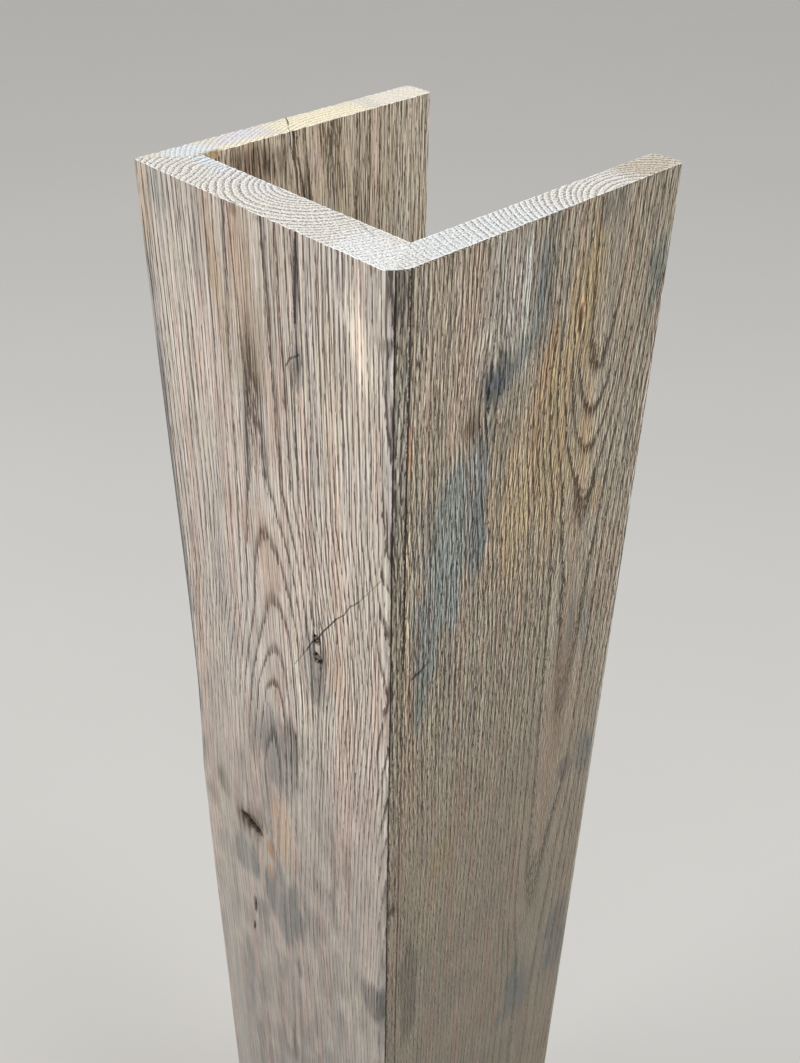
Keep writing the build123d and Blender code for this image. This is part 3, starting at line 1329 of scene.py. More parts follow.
    def relief(self, across: Array, below: Array, into: Array, walls: Array) -> tuple[Array, Array, Array]:
        """Work out how deep the surface lies.

        Args:
            across: Place across the board, in millimetres.
            below: Place below the top end, in millimetres.
            into: Depth behind the outer face, in millimetres.
            walls: The wall of each vertex.

        Returns:
            Depth in millimetres, and how brushed and how grimy it is, 0 to 1.
        """
        fibre = self.growth.fibre(across, below)
        ring = self.growth.rings(across, below, into)
        broad, fine = self.noise(Draw.SWELL), self.noise(Draw.STREAKS)
        swell = self.BROAD_SWELL.at(broad, across, below, into) + self.SMALL_SWELL.at(broad, across, below)
        streak = self.LONG_STREAK.at(fine, fibre, below, into) + self.SHORT_STREAK.at(fine, fibre, below)
        phase = ring + self.RING_WOBBLE.at(fine, fibre, below) - np.floor(ring)
        early = self.EARLY_WOOD.of(phase)
        brushed = np.clip(self.STREAK_SHARE * streak + self.EARLY_SHARE * early, 0, 1)
        swell = np.maximum(swell, -self.skin * self.HIGHEST_SWELL)
        depth = self.skin + swell + self.BRUSHED_DEPTH * brushed
        grime = np.zeros_like(depth)
        on_best = walls == self.best_wall.value
        for tear in self.tears:
            reach = tear.reach(across, below) + self.TEAR_OUTLINE.at(fine, across, below)
            hole = (1 - rise(*self.TEAR_WALL, reach)) * on_best
            depth = depth + tear.depth * hole
            grime = np.maximum(grime, tear.grime * hole)
        for knot in self.knots:
            reach = knot.reach(across, below) + self.KNOT_OUTLINE.at(fine, across, below)
            pit = (1 - rise(*self.KNOT_WALL, reach)) * on_best
            if knot.core:
                pit = pit * rise(knot.core, knot.core + self.CORE_WALL, reach)
            dish = (1 - rise(*self.DISH, reach)) * on_best
            depth = depth + knot.depth * pit + self.DISH_DEPTH * dish
        return depth, brushed, grime

    def end_drop(self, across: Array, into: Array) -> Array:
        """Give how far the sawn top lies below the board's full length, in millimetres."""
        torn = self.noise(Draw.TORN_END)
        ring = self.growth.rings(across, 0 * across, into)
        late = self.LATE_WOOD.of(ring - np.floor(ring))
        drop = self.END_DEPTH - self.LATE_HEIGHT * late
        drop = drop + self.LONG_TEARING.at(torn, across, into) + self.FINE_TEARING.at(torn, across, into)
        from_edge = np.minimum(into, self.thickness() - into)
        near_edge = 1 - rise(*self.TEETH_REACH, from_edge)
        drop = drop + np.abs(self.TEETH.at(torn, across, into)) * near_edge
        for chip in self.chips:
            drop = drop + chip.sink(across, self.thickness() - into, torn)
        return drop

    def contrast(self, across: Array, below: Array) -> Array:
        """Give how strongly the brushing shows, about 1: it is plainest near the top."""
        shown = self.TOP_CONTRAST
        for fall, start, end in self.CONTRAST_FALLS:
            shown = shown - fall * rise(start, end, below)
        for lull in self.lulls:
            shown = shown * lull.left(across, below)
        return shown

    def girth(self, across: Array, into: Array) -> Array:
        """Give how far round the board's section each place lies, in millimetres."""
        return across + 0 * into

    def build(self) -> bpy.types.Object:
        """Make the board's mesh and dress it.

        Returns:
            The board, riding with the beam's body in place of its frame node.
        """
        below = self.stations()
        outer, inner = self.columns(below)
        shell = Shell(outer, inner, below * MM, self.layers, self.section.length)
        plain = shell.vertices()
        walls = shell.wall_of_each()
        across, into = self.place(plain)
        down = (self.section.length - plain[:, 2]) / MM
        depth, brushed, grime = self.relief(across, down, into, walls)
        way = np.zeros(len(plain))
        way[walls == Wall.OUTER.value] = 1
        way[walls == Wall.INNER.value] = -1
        vertices = plain + self.inward()[None] * (way * depth * MM)[:, None]
        vertices[:, 2] = np.minimum(vertices[:, 2], self.section.length - self.end_drop(across, into) * MM)
        mesh = bpy.data.meshes.new(self.node)
        mesh.from_pydata(vertices.tolist(), [], shell.faces)
        numbers = {
            "contrast": self.contrast(across, down),
            "edge": self.joint_gap(plain),
            "ray": self.growth.rays(across, into),
        }
        self._carry(mesh, across, down, into, brushed, grime, walls, numbers)
        self._orient(mesh, (down < self.AT_END) | (down > self.section.length / MM - self.AT_END))
        board = bpy.data.objects.new(f"{self.node}_oak", mesh)
        bpy.context.scene.collection.objects.link(board)
        self._dress(board)
        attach(board, "root")
        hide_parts(self.node)
        log.info("%s: %d faces", board.name, len(mesh.polygons))
        return board

    def _carry(
        self, mesh: bpy.types.Mesh, across: Array, down: Array, into: Array,
        brushed: Array, grime: Array, walls: Array, numbers: dict[str, Array],
    ) -> None:
        """Store on the vertices what the finishes read: grain, place, age, stains and numbers."""
        for name, values in numbers.items():
            layer = mesh.attributes.new(name, "FLOAT", "POINT")
            layer.data.foreach_set("value", values.astype(np.float32))
        best = walls == self.best_wall.value
        fibre = self.girth(self.growth.fibre(across, down), into)
        ring = self.growth.rings(across, down, into)
        body, base = self.finish.body, self.end_finish.base
        face_stains = blend_stains(self.stains, across, down, self.noise(Draw.FACE_STAINS), body)
        back_stains = blend_stains(self.back_stains, across, down, self.noise(Draw.BACK_STAINS), body)
        end_stains = blend_stains(self.end_stains, across, into, self.noise(Draw.END_STAINS), base)
        stains = np.where(best[:, None], face_stains, back_stains)
        vectors = {
            "grain": np.stack([fibre, down, ring], axis=-1),
            "place": np.stack([across, down, into], axis=-1),
            "age": np.stack([brushed, grime, best.astype(float)], axis=-1),
        }
        for name, values in vectors.items():
            layer = mesh.attributes.new(name, "FLOAT_VECTOR", "POINT")
            layer.data.foreach_set("vector", values.astype(np.float32).ravel())
        for name, values in {"stain": stains, "end_stain": end_stains}.items():
            layer = mesh.attributes.new(name, "FLOAT_COLOR", "POINT")
            layer.data.foreach_set("color", values.astype(np.float32).ravel())

    def _orient(self, mesh: bpy.types.Mesh, at_end: Array) -> None:
        """Turn all faces outward, give the sawn finish to the ends, and keep only corners crisp."""
        work = bmesh.new()
        work.from_mesh(mesh)
        bmesh.ops.recalc_face_normals(work, faces=work.faces)
        for face in work.faces:
            face.smooth = True
            face.material_index = int(all(at_end[corner.index] for corner in face.verts))
        work.to_mesh(mesh)
        work.free()
        mesh.set_sharp_from_angle(angle=math.radians(self.CRISP_ANGLE))

    def _dress(self, board: bpy.types.Object) -> None:
        """Put the brushed and sawn finishes on."""
        board.data.materials.append(self.finish.material(self.cracks, self.knots))
        board.data.materials.append(self.end_finish.material(self.thickness(), self.end_cracks))


def row(columns: Sequence[Array]) -> Array:
    """Stack columns, each stations by X and Y, into stations by columns by X and Y."""
    return np.stack(columns, axis=1)


def across_to(start: Array, end: Array, shares: Array) -> list[Array]:
    """List the columns between two, leaving out the first."""
    return [start + (end - start) * share for share in shares[1:]]


@dataclass
class FaceBoard(Board):
    """The wide board between the sides: its outer face has the knots and both worn arrises.

    Attributes:
        far_steps: Steps round the far arris.
        near_steps: Steps round the near arris.
        face_columns: Steps across the flat of its face.
        column_zones: Where across the face they are closer.
    """

    # How plainly its left half shows the brushing, how much more the right half does and where
    # one turns to the other, and how much less it shows lower down, and where that sets in
    LEFT_CONTRAST: ClassVar[float] = 0.72
    LEFT_GAIN: ClassVar[float] = 0.28
    LEFT_TO_RIGHT: ClassVar[Pair] = (50, 110)
    LOW_LOSS: ClassVar[float] = 0.22
    LOW: ClassVar[Pair] = (300, 420)

    lulls: tuple[Lull, ...] = (Lull(168, 36, 10, 26, 0.5), Lull(95, 245, 12, 62, 0.45))
    far_steps: int = 4
    near_steps: int = 10
    face_columns: int = 176
    column_zones: tuple[Zone, ...] = (Zone(132.9, 7, 1.6), Zone(54, 14, 0.5), Zone(182, 10, 0.6))

    def thickness(self) -> float:
        """Measure from the front of the beam to the hollow."""
        return (self.section.inner_front - self.section.front) / MM

    def contrast(self, across: Array, below: Array) -> Array:
        """Show the brushing less on the smoother left half, and lower down."""
        side = self.LEFT_CONTRAST + self.LEFT_GAIN * rise(*self.LEFT_TO_RIGHT, across)
        return super().contrast(across, below) * side * (1 - self.LOW_LOSS * rise(*self.LOW, below))

    def inward(self) -> Array:
        """The board lies behind the front of the beam."""
        return np.array([0.0, 1.0, 0.0])

    def place(self, vertices: Array) -> tuple[Array, Array]:
        """Measure from the left corner, and back from the front."""
        return (vertices[:, 0] - self.section.left) / MM, (vertices[:, 1] - self.section.front) / MM

    def columns(self, below: Array) -> tuple[Array, Array]:
        """Run from the left mitre round the far arris, across the face and round the near arris."""
        cut = self.section
        far_mitre = np.array([cut.inner_left - cut.left, cut.inner_front - cut.front])
        near_mitre = np.array([cut.inner_right - cut.right, cut.inner_front - cut.front])
        far_end = FAR_ARRIS.joint_share(below, far_mitre)
        near_end = NEAR_ARRIS.joint_share(below, near_mitre)
        far_corner = np.array([cut.left, cut.front])
        near_corner = np.array([cut.right, cut.front])
        far = FAR_ARRIS.stretch(below, far_end, 0 * far_end, self.far_steps)
        far = [far_corner + place * MM for place in far]
        near = NEAR_ARRIS.stretch(below, 0 * near_end, near_end, self.near_steps)
        near = [near_corner + place * MM for place in near]
        width = (cut.right - cut.left) / MM
        shares = graded(width, self.face_columns, self.column_zones) / width
        outer = row(far + across_to(far[-1], near[0], shares) + near[1:])
        count = (outer.shape[1] - 1) // 2
        start = np.tile([cut.inner_left, cut.inner_front], (len(below), 1))
        end = np.tile([cut.inner_right, cut.inner_front], (len(below), 1))
        inner = row([start] + across_to(start, end, np.linspace(0, 1, count + 1)))
        return outer, inner

    def joint_gap(self, vertices: Array) -> Array:
        """Measure to the nearer of the two mitres."""
        cut = self.section
        gaps = []
        for corner, hollow in ((cut.left, cut.inner_left), (cut.right, cut.inner_right)):
            along = Vector((hollow - corner, cut.inner_front - cut.front)).normalized()
            aside, behind = vertices[:, 0] - corner, vertices[:, 1] - cut.front
            gaps.append(np.abs(aside * along.y - behind * along.x))
        return np.minimum(*gaps) / MM


@dataclass
class SideBoard(Board):
    """What the two deep boards share: they run back from a mitre to a free tip.

    Attributes:
        arris: The worn corner that it shares with the face board.
        arris_steps: Steps round that corner.
        face_columns: Steps across the flat of its face.
        column_zones: Where across the face they are closer.
        outer_ease: How far the tip's outer corner is taken off, in millimetres.
        inner_ease: How far its inner corner is.
        round_tip: Whether the tip's corners are round and not flat.
        ease_steps: Steps round the outer one.
    """

    # Where down the board the brushing shows more, as middle, reach and gain, and from where to
    # where across it the grain leaves the worn corner behind
    HAND_BREADTH: ClassVar[tuple[float, float, float]] = (180, 90, 0.3)
    AWAY_FROM_CORNER: ClassVar[Pair] = (12, 30)

    lulls: tuple[Lull, ...] = (Lull(157, 300, 11, 62, 0.7),)
    arris: WornArris = NEAR_ARRIS
    arris_steps: int = 8
    face_columns: int = 184
    column_zones: tuple[Zone, ...] = ()
    outer_ease: float = 1.6
    inner_ease: float = 1.0
    round_tip: bool = False
    ease_steps: int = 4

    def corners(self) -> tuple[float, float, float]:
        """Give the outer X, the inner X and the tip's Y."""
        cut = self.section
        if self.arris is NEAR_ARRIS:
            return cut.right, cut.inner_right, cut.right_tip
        return cut.left, cut.inner_left, cut.left_tip

    def thickness(self) -> float:
        """Measure from the outer face to the hollow."""
        outer_x, inner_x, _ = self.corners()
        return abs(inner_x - outer_x) / MM

    def inward(self) -> Array:
        """The board lies on the hollow's side of its outer face."""
        outer_x, inner_x, _ = self.corners()
        return np.array([math.copysign(1.0, inner_x - outer_x), 0.0, 0.0])

    def place(self, vertices: Array) -> tuple[Array, Array]:
        """Measure back from the front, and in from the outer face."""
        outer_x = self.corners()[0]
        return (vertices[:, 1] - self.section.front) / MM, np.abs(vertices[:, 0] - outer_x) / MM

    def contrast(self, across: Array, below: Array) -> Array:
        """Show the brushing most below the first hand's breadth."""
        middle, reach, gain = self.HAND_BREADTH
        return super().contrast(across, below) * (1 + gain * bell(below, middle, reach))

    def girth(self, across: Array, into: Array) -> Array:
        """Run on from the outer face into the board, away from the worn corner."""
        return across + into * rise(*self.AWAY_FROM_CORNER, across)

    def _eased(self, start: Array, corner: Array, end: Array, steps: int) -> list[Array]:
        """Turn a corner in a round or a flat, leaving out the first column."""
        shares = np.linspace(0, 1, steps + 1)[1:]
        if not self.round_tip:
            return [start + (end - start) * share for share in shares]
        return [start * (1 - s) ** 2 + corner * 2 * s * (1 - s) + end * s**2 for s in shares]

    def columns(self, below: Array) -> tuple[Array, Array]:
        """Run from the mitre round the worn arris and back along the board to its tip."""
        cut = self.section
        outer_x, inner_x, tip_y = self.corners()
        mitre = np.array([inner_x - outer_x, cut.inner_front - cut.front])
        start = self.arris.joint_share(below, mitre)
        corner = np.array([outer_x, cut.front])
        worn = [corner + p * MM for p in self.arris.stretch(below, start, 0 * start + 1, self.arris_steps)]
        count = len(below)
        sign = math.copysign(1.0, inner_x - outer_x)
        last = np.tile([outer_x, tip_y - self.outer_ease * MM], (count, 1))
        tip = np.tile([outer_x + sign * self.outer_ease * MM, tip_y], (count, 1))
        sharp = np.tile([outer_x, tip_y], (count, 1))
        depth = (tip_y - cut.front) / MM
        shares = graded(depth, self.face_columns, self.column_zones) / depth
        outer = worn + across_to(worn[-1], last, shares) + self._eased(last, sharp, tip, self.ease_steps)
        outer = row(outer)
        inner_steps = (outer.shape[1] - 1) // 2 - self.ease_steps // 2
        hollow = np.tile([inner_x, cut.inner_front], (count, 1))
        inner_last = np.tile([inner_x, tip_y - self.inner_ease * MM], (count, 1))
        inner_tip = np.tile([inner_x - sign * self.inner_ease * MM, tip_y], (count, 1))
        inner_sharp = np.tile([inner_x, tip_y], (count, 1))
        inner = [hollow] + across_to(hollow, inner_last, np.linspace(0, 1, inner_steps + 1))
        inner = inner + self._eased(inner_last, inner_sharp, inner_tip, self.ease_steps // 2)
        return outer, row(inner)

    def joint_gap(self, vertices: Array) -> Array:
        """Measure to the board's mitre."""
        cut = self.section
        outer_x, inner_x, _ = self.corners()
        along = Vector((inner_x - outer_x, cut.inner_front - cut.front)).normalized()
        return np.abs((vertices[:, 0] - outer_x) * along.y - (vertices[:, 1] - cut.front) * along.x) / MM


@dataclass(frozen=True)
class Viewpoint:
    """Where the beam is seen from, as worked out from the photograph.

    Attributes:
        place: The camera, in metres.
        yaw: Turn about Z from looking along +Y, in degrees.
        pitch: Tilt down from level, in degrees.
        roll: Turn about the line of sight, in degrees.
        lens: Focal length, in millimetres.
        film: Width of the frame, in millimetres.
    """

    place: tuple[float, float, float] = (0.4358, -0.4331, 1.4120)
    yaw: float = -45.34
    pitch: float = 35.99
    roll: float = 1.054
    lens: float = 41.29
    film: float = 36.0

    def build(self) -> bpy.types.Object:
        """Make the camera and look through it."""
        yaw, pitch, roll = (math.radians(angle) for angle in (self.yaw, self.pitch, self.roll))
        ahead = Vector((math.sin(yaw) * math.cos(pitch), math.cos(yaw) * math.cos(pitch), -math.sin(pitch)))
        level = Vector((math.cos(yaw), -math.sin(yaw), 0))
        above = level.cross(ahead)
        right = level * math.cos(roll) + above * math.sin(roll)
        up = above * math.cos(roll) - level * math.sin(roll)
        data = bpy.data.cameras.new("photograph_view")
        data.lens = self.lens
        data.sensor_width = self.film
        data.sensor_fit = "AUTO"
        camera = bpy.data.objects.new("photograph_view", data)
        turn = Matrix((right, up, -ahead)).transposed().to_4x4()
        camera.matrix_world = Matrix.Translation(self.place) @ turn
        bpy.context.scene.collection.objects.link(camera)
        bpy.context.scene.camera = camera
        return camera


@dataclass(frozen=True)
class SoftBox:
    """One large soft lamp: its place, what it faces, its size in metres, power and colour."""

    name: str
    place: tuple[float, float, float]
    target: tuple[float, float, float]
    size: float
    power: float
    colour: Colour = (1.0, 1.0, 1.0)

    def build(self) -> bpy.types.Object:
        """Hang the lamp."""
        data = bpy.data.lights.new(self.name, "AREA")
        data.shape = "SQUARE"
        data.size = self.size
        data.energy = self.power
        data.color = self.colour
        lamp = bpy.data.objects.new(self.name, data)
        lamp.location = self.place
        lamp.rotation_euler = (Vector(self.target) - Vector(self.place)).to_track_quat("-Z", "Y").to_euler()
        bpy.context.scene.collection.objects.link(lamp)
        return lamp


@dataclass(frozen=True)
class Studio:
    """A plain pale floor under an even white sky, with soft lamps.

    Attributes:
        floor_size: Width of the floor, in metres.
        floor_colour: Its colour.
        worn_share: How bright it is where it is worn, as a share of that colour.
        sky_light: Strength of the sky's light.
        sky_seen: Colour of the sky as the camera sees it.
        lamps: The lamps.
    """

    floor_size: float = 160.0
    floor_colour: Colour = tone(214, 212, 208)
    worn_share: float = 0.97
    sky_light: float = 0.62
    sky_seen: Colour = tone(184, 183, 180)
    lamps: tuple[SoftBox, ...] = ()

    def floor(self) -> bpy.types.Object:
        """Lay the floor, which isn't part of the beam."""
        half = self.floor_size / 2
        mesh = bpy.data.meshes.new("floor")
        corners = [(-half, -half, 0), (half, -half, 0), (half, half, 0), (-half, half, 0)]
        mesh.from_pydata(corners, [], [(0, 1, 2, 3)])
        nodes = Nodes("pale_floor")
        geometry = nodes.tree.nodes.new("ShaderNodeNewGeometry")
        grit = nodes.noise(geometry.outputs["Position"], scale=3.0, detail=3.0)
        worn = tuple(channel * self.worn_share for channel in self.floor_colour)
        colour = nodes.mix(grit, worn, self.floor_colour)
        normal = nodes.bump(grit, depth=0.2 * MM, strength=0.2)
        mesh.materials.append(nodes.finish(colour, rough=0.85, normal=normal, specular=0.2))
        floor = bpy.data.objects.new("floor", mesh)
        bpy.context.scene.collection.objects.link(floor)
        return floor

    def sky(self) -> None:
        """Light everything evenly, and show a pale backdrop behind it."""
        world = bpy.data.worlds.new("studio")
        bpy.context.scene.world = world
        world.use_nodes = True
        tree = world.node_tree
        light = tree.nodes["Background"]
        light.inputs["Color"].default_value = (1.0, 1.0, 1.0, 1.0)
        light.inputs["Strength"].default_value = self.sky_light
        seen = tree.nodes.new("ShaderNodeBackground")
        seen.inputs["Color"].default_value = (*self.sky_seen, 1.0)
        seen.inputs["Strength"].default_value = 1.0
        path = tree.nodes.new("ShaderNodeLightPath")
        choice = tree.nodes.new("ShaderNodeMixShader")
        tree.links.new(path.outputs["Is Camera Ray"], choice.inputs["Fac"])
        tree.links.new(light.outputs[0], choice.inputs[1])
        tree.links.new(seen.outputs[0], choice.inputs[2])
        tree.links.new(choice.outputs[0], tree.nodes["World Output"].inputs["Surface"])

    def build(self) -> None:
        """Set up floor, sky and lamps."""
        self.floor()
        self.sky()
        for lamp in self.lamps:
            lamp.build()
        bpy.context.scene.view_settings.view_transform = "Standard"


# Colours of age and stain as they look on the boards, and a darker grey that they turn towards the bottom
GOLD = tone(172, 149, 114)
TAN = tone(190, 170, 149)
BLUE_GREY = tone(138, 142, 140)
PALE_GREY = tone(168, 165, 159)
SLATE = tone(98, 101, 103)
CREAM = tone(248, 235, 220)
PINK_TAN = tone(192, 172, 159)
RUST = tone(160, 120, 92)
UMBER = tone(96, 80, 66)
SMOKE = tone(124, 117, 111)
ASH = tone(184, 178, 171)
OLIVE = tone(146, 138, 116)
# Darker grey towards the bottom of the boards
DARKER_BELOW = tone(148, 142, 137)
ICE = tone(220, 227, 231)
LAVENDER = tone(222, 219, 224)
BUTTER = tone(244, 233, 203)
MILK = tone(238, 230, 214)


def make_face_board(section: Section) -> FaceBoard:
    """Describe the wide board as the photograph shows it."""
    growth = Growth(
        heart=(
            Pith(0, 88, 41), Pith(150, 90, 39.5), Pith(182, 93, 37), Pith(248, 97, 30.5),
            Pith(310, 90, 25), Pith(380, 84, 23), Pith(520, 78, 24), Pith(760, 86, 30), Pith(1200, 92, 38),
        ),
        ring_width=3.3,
        wander=1.6,
        seed=101,
        swerves=(Swerve(132, 246, 16, 34, 5), Swerve(54, 456, 22, 40, 9), Swerve(51, 560, 12, 40, 3)),
        crumple=(1.9, 36, 26),
    )
    return FaceBoard(
        section=section,
        node="face_board",
        slot="face_oak",
        growth=growth,
        finish=BrushedOak(
            "face_oak_brushed", tone(100, 87, 80), tone(203, 190, 181), tone(247, 239, 231),
            line_width=0.7, line_depth=0.14, pore_depth=0.2, ring_depth=0.2,
        ),
        end_finish=SawnOak("face_oak_sawn", tone(140, 132, 121), tone(221, 216, 206), fade=(120, 165)),
        seed=1,
        zones=(Zone(246, 12, 4.5), Zone(457, 12, 1.4)),
        knots=(
            Knot(132.5, 238.5, 7.4, 7.6, 3.0, 8.0, core=0.34),
            Knot(133.3, 251.8, 8.8, 7.8, 3.5, -12.0, core=0.36),
            Knot(55.0, 457.5, 27.0, 9.0, 4.0, -15.0, darkness=0.86),
            Knot(51.2, 552.0, 3.2, 21.0, 2.2, -3.0, darkness=0.7),
            Knot(47.6, 580.0, 2.8, 13.0, 1.6, -10.0, darkness=0.62),
        ),
        tears=(
            Tear(125, 70, 5, 20, 0.5, 0.5),
            Tear(186.5, 36, 3.5, 13, 0.6, 0.62),
            Tear(190, 46, 2.2, 16, 0.5, 0.4),
            Tear(188, 76, 2.6, 22, 0.7, 0.66),
            Tear(194, 85, 3, 9, 0.8, 0.8),
            Tear(191.5, 104, 4.5, 13, 0.8, 0.72),
            Tear(192, 127, 6, 12, 0.9, 0.7),
            Tear(188.5, 150, 3.5, 24, 0.6, 0.5),
            Tear(187, 205, 3, 34, 0.6, 0.42),
            Tear(189, 262, 3.5, 26, 0.6, 0.4),
            Tear(187, 330, 3, 40, 0.5, 0.3),
            Tear(188, 420, 4, 50, 0.6, 0.3),
            Tear(187, 520, 5, 60, 0.6, 0.25),
            Tear(188, 700, 4, 90, 0.5, 0.25),
            Tear(82, 3, 7, 8, 0.3, 0.5),
        ),
        stains=(
            # Darker and greyer towards the bottom of the board
            Stain(95, 900, 420, 1300, DARKER_BELOW, 0.95, soft=1.0),
            Stain(98, 50, 70, 270, tone(176, 160, 147), 0.6, soft=1.0),
            Stain(34, 96, 60, 150, tone(217, 204, 193), 0.6, soft=1.0),
            Stain(5, 22, 14, 60, tone(204, 182, 160), 0.7),
            Stain(21, 12, 26, 30, PALE_GREY, 0.6),
            Stain(51, 28, 16, 80, PALE_GREY, 0.6, soft=0.8),
            Stain(63, 44, 14, 110, tone(184, 161, 135), 0.6, lean=-0.05, soft=0.9),
            Stain(85, 44, 22, 120, tone(176, 152, 130), 0.5, lean=-0.05, soft=0.9),
            Stain(96, 80, 8, 130, tone(156, 139, 126), 0.45, lean=-0.05, soft=0.8),
            Stain(108, 60, 10, 120, SMOKE, 0.3, soft=0.8),
            Stain(150, 70, 70, 150, tone(212, 195, 180), 0.6, soft=1.0),
            Stain(168, 36, 22, 50, CREAM, 1.0, lean=-0.2, soft=0.6),
            Stain(126, 32, 5, 96, tone(112, 111, 112), 0.75, soft=0.8),
            Stain(126, 68, 7, 30, SLATE, 0.7, soft=0.8),
            Stain(152, 220, 90, 260, tone(210, 194, 180), 0.5, soft=1.0),
            # Painted shade: a dark grey strip along the far worn arris, where its bevel faces away from the
            # light
            Stain(3.5, 220, 11, 400, tone(104, 104, 106), 0.85, soft=0.6),
            Stain(84, 184, 54, 34, PINK_TAN, 0.6),
            Stain(95, 212, 24, 56, PINK_TAN, 0.8),
            Stain(92, 300, 24, 40, PINK_TAN, 0.6),
            Stain(131, 262, 26, 60, tone(118, 113, 112), 0.9, soft=0.8),
            Stain(147, 252, 16, 50, tone(196, 168, 146), 0.6, soft=0.8),
            Stain(116, 280, 9, 120, tone(226, 212, 198), 0.6, lean=-0.05, soft=0.8),
            Stain(105, 342, 26, 50, tone(116, 109, 105), 0.9, soft=0.7),
            Stain(90, 372, 54, 80, tone(142, 138, 134), 0.75),
            Stain(92, 436, 24, 90, tone(198, 172, 154), 0.7),
            Stain(26, 438, 16, 30, SMOKE, 0.7),
            Stain(56, 452, 44, 50, tone(132, 122, 114), 0.6, lean=0.3),
            Stain(54, 456, 34, 22, UMBER, 0.8, lean=0.5),
            Stain(75, 468, 12, 24, tone(174, 138, 112), 0.8),
            Stain(74, 494, 9, 36, tone(184, 150, 124), 0.7),
            Stain(84, 522, 54, 90, tone(132, 131, 129), 0.75),
            Stain(45, 502, 30, 50, tone(140, 139, 137), 0.6),
            Stain(180, 530, 22, 46, tone(112, 107, 103), 0.8),
            Stain(142, 436, 7, 90, tone(134, 126, 119), 0.7),
            Stain(156, 425, 9, 70, tone(134, 126, 119), 0.6),
            Stain(16, 690, 22, 380, ASH, 0.6),
            Stain(90, 686, 7, 70, tone(118, 104, 93), 0.7),
            Stain(101, 580, 8, 30, SMOKE, 0.7),
            Stain(120, 900, 60, 220, tone(140, 139, 137), 0.5),
            Stain(60, 1010, 40, 160, TAN, 0.5),
        ),
        back_stains=(
            Stain(60, 200, 60, 260, TAN, 0.5),
            Stain(130, 640, 50, 300, PALE_GREY, 0.6),
            Stain(80, 980, 60, 240, tone(176, 156, 132), 0.5),
        ),
        end_stains=(
            Stain(170, 10, 60, 40, tone(230, 230, 227), 0.8),
            Stain(30, 26, 36, 14, ICE, 0.8),
            Stain(60, 24, 60, 20, LAVENDER, 0.3),
        ),
        end_cracks=(Crack(((140, 28), (146, 25.5), (155, 22.5)), 0.7, 0.5),),
        cracks=(
            Crack(((112, 270), (124, 251)), 0.9, 0.45),
            Crack(((124, 251), (129, 242), (134, 236.5), (138, 229.5), (150, 212.5)), 1.15, 0.85),
            Crack(((150, 212.5), (156.5, 205.5), (161, 197.5), (168, 190)), 0.95, 0.7),
            Crack(((168, 190), (185, 166)), 0.8, 0.4),
            Crack(((116.5, 72), (120, 67), (126.5, 62.5)), 1.3, 0.7),
            Crack(((122, 52), (122.5, 136)), 1.1, 0.65),
            Crack(((77, 0), (85, 126)), 1.2, 0.6),
            Crack(((127.5, 0), (124.5, 46)), 2.2, 0.8),
        ),
    )


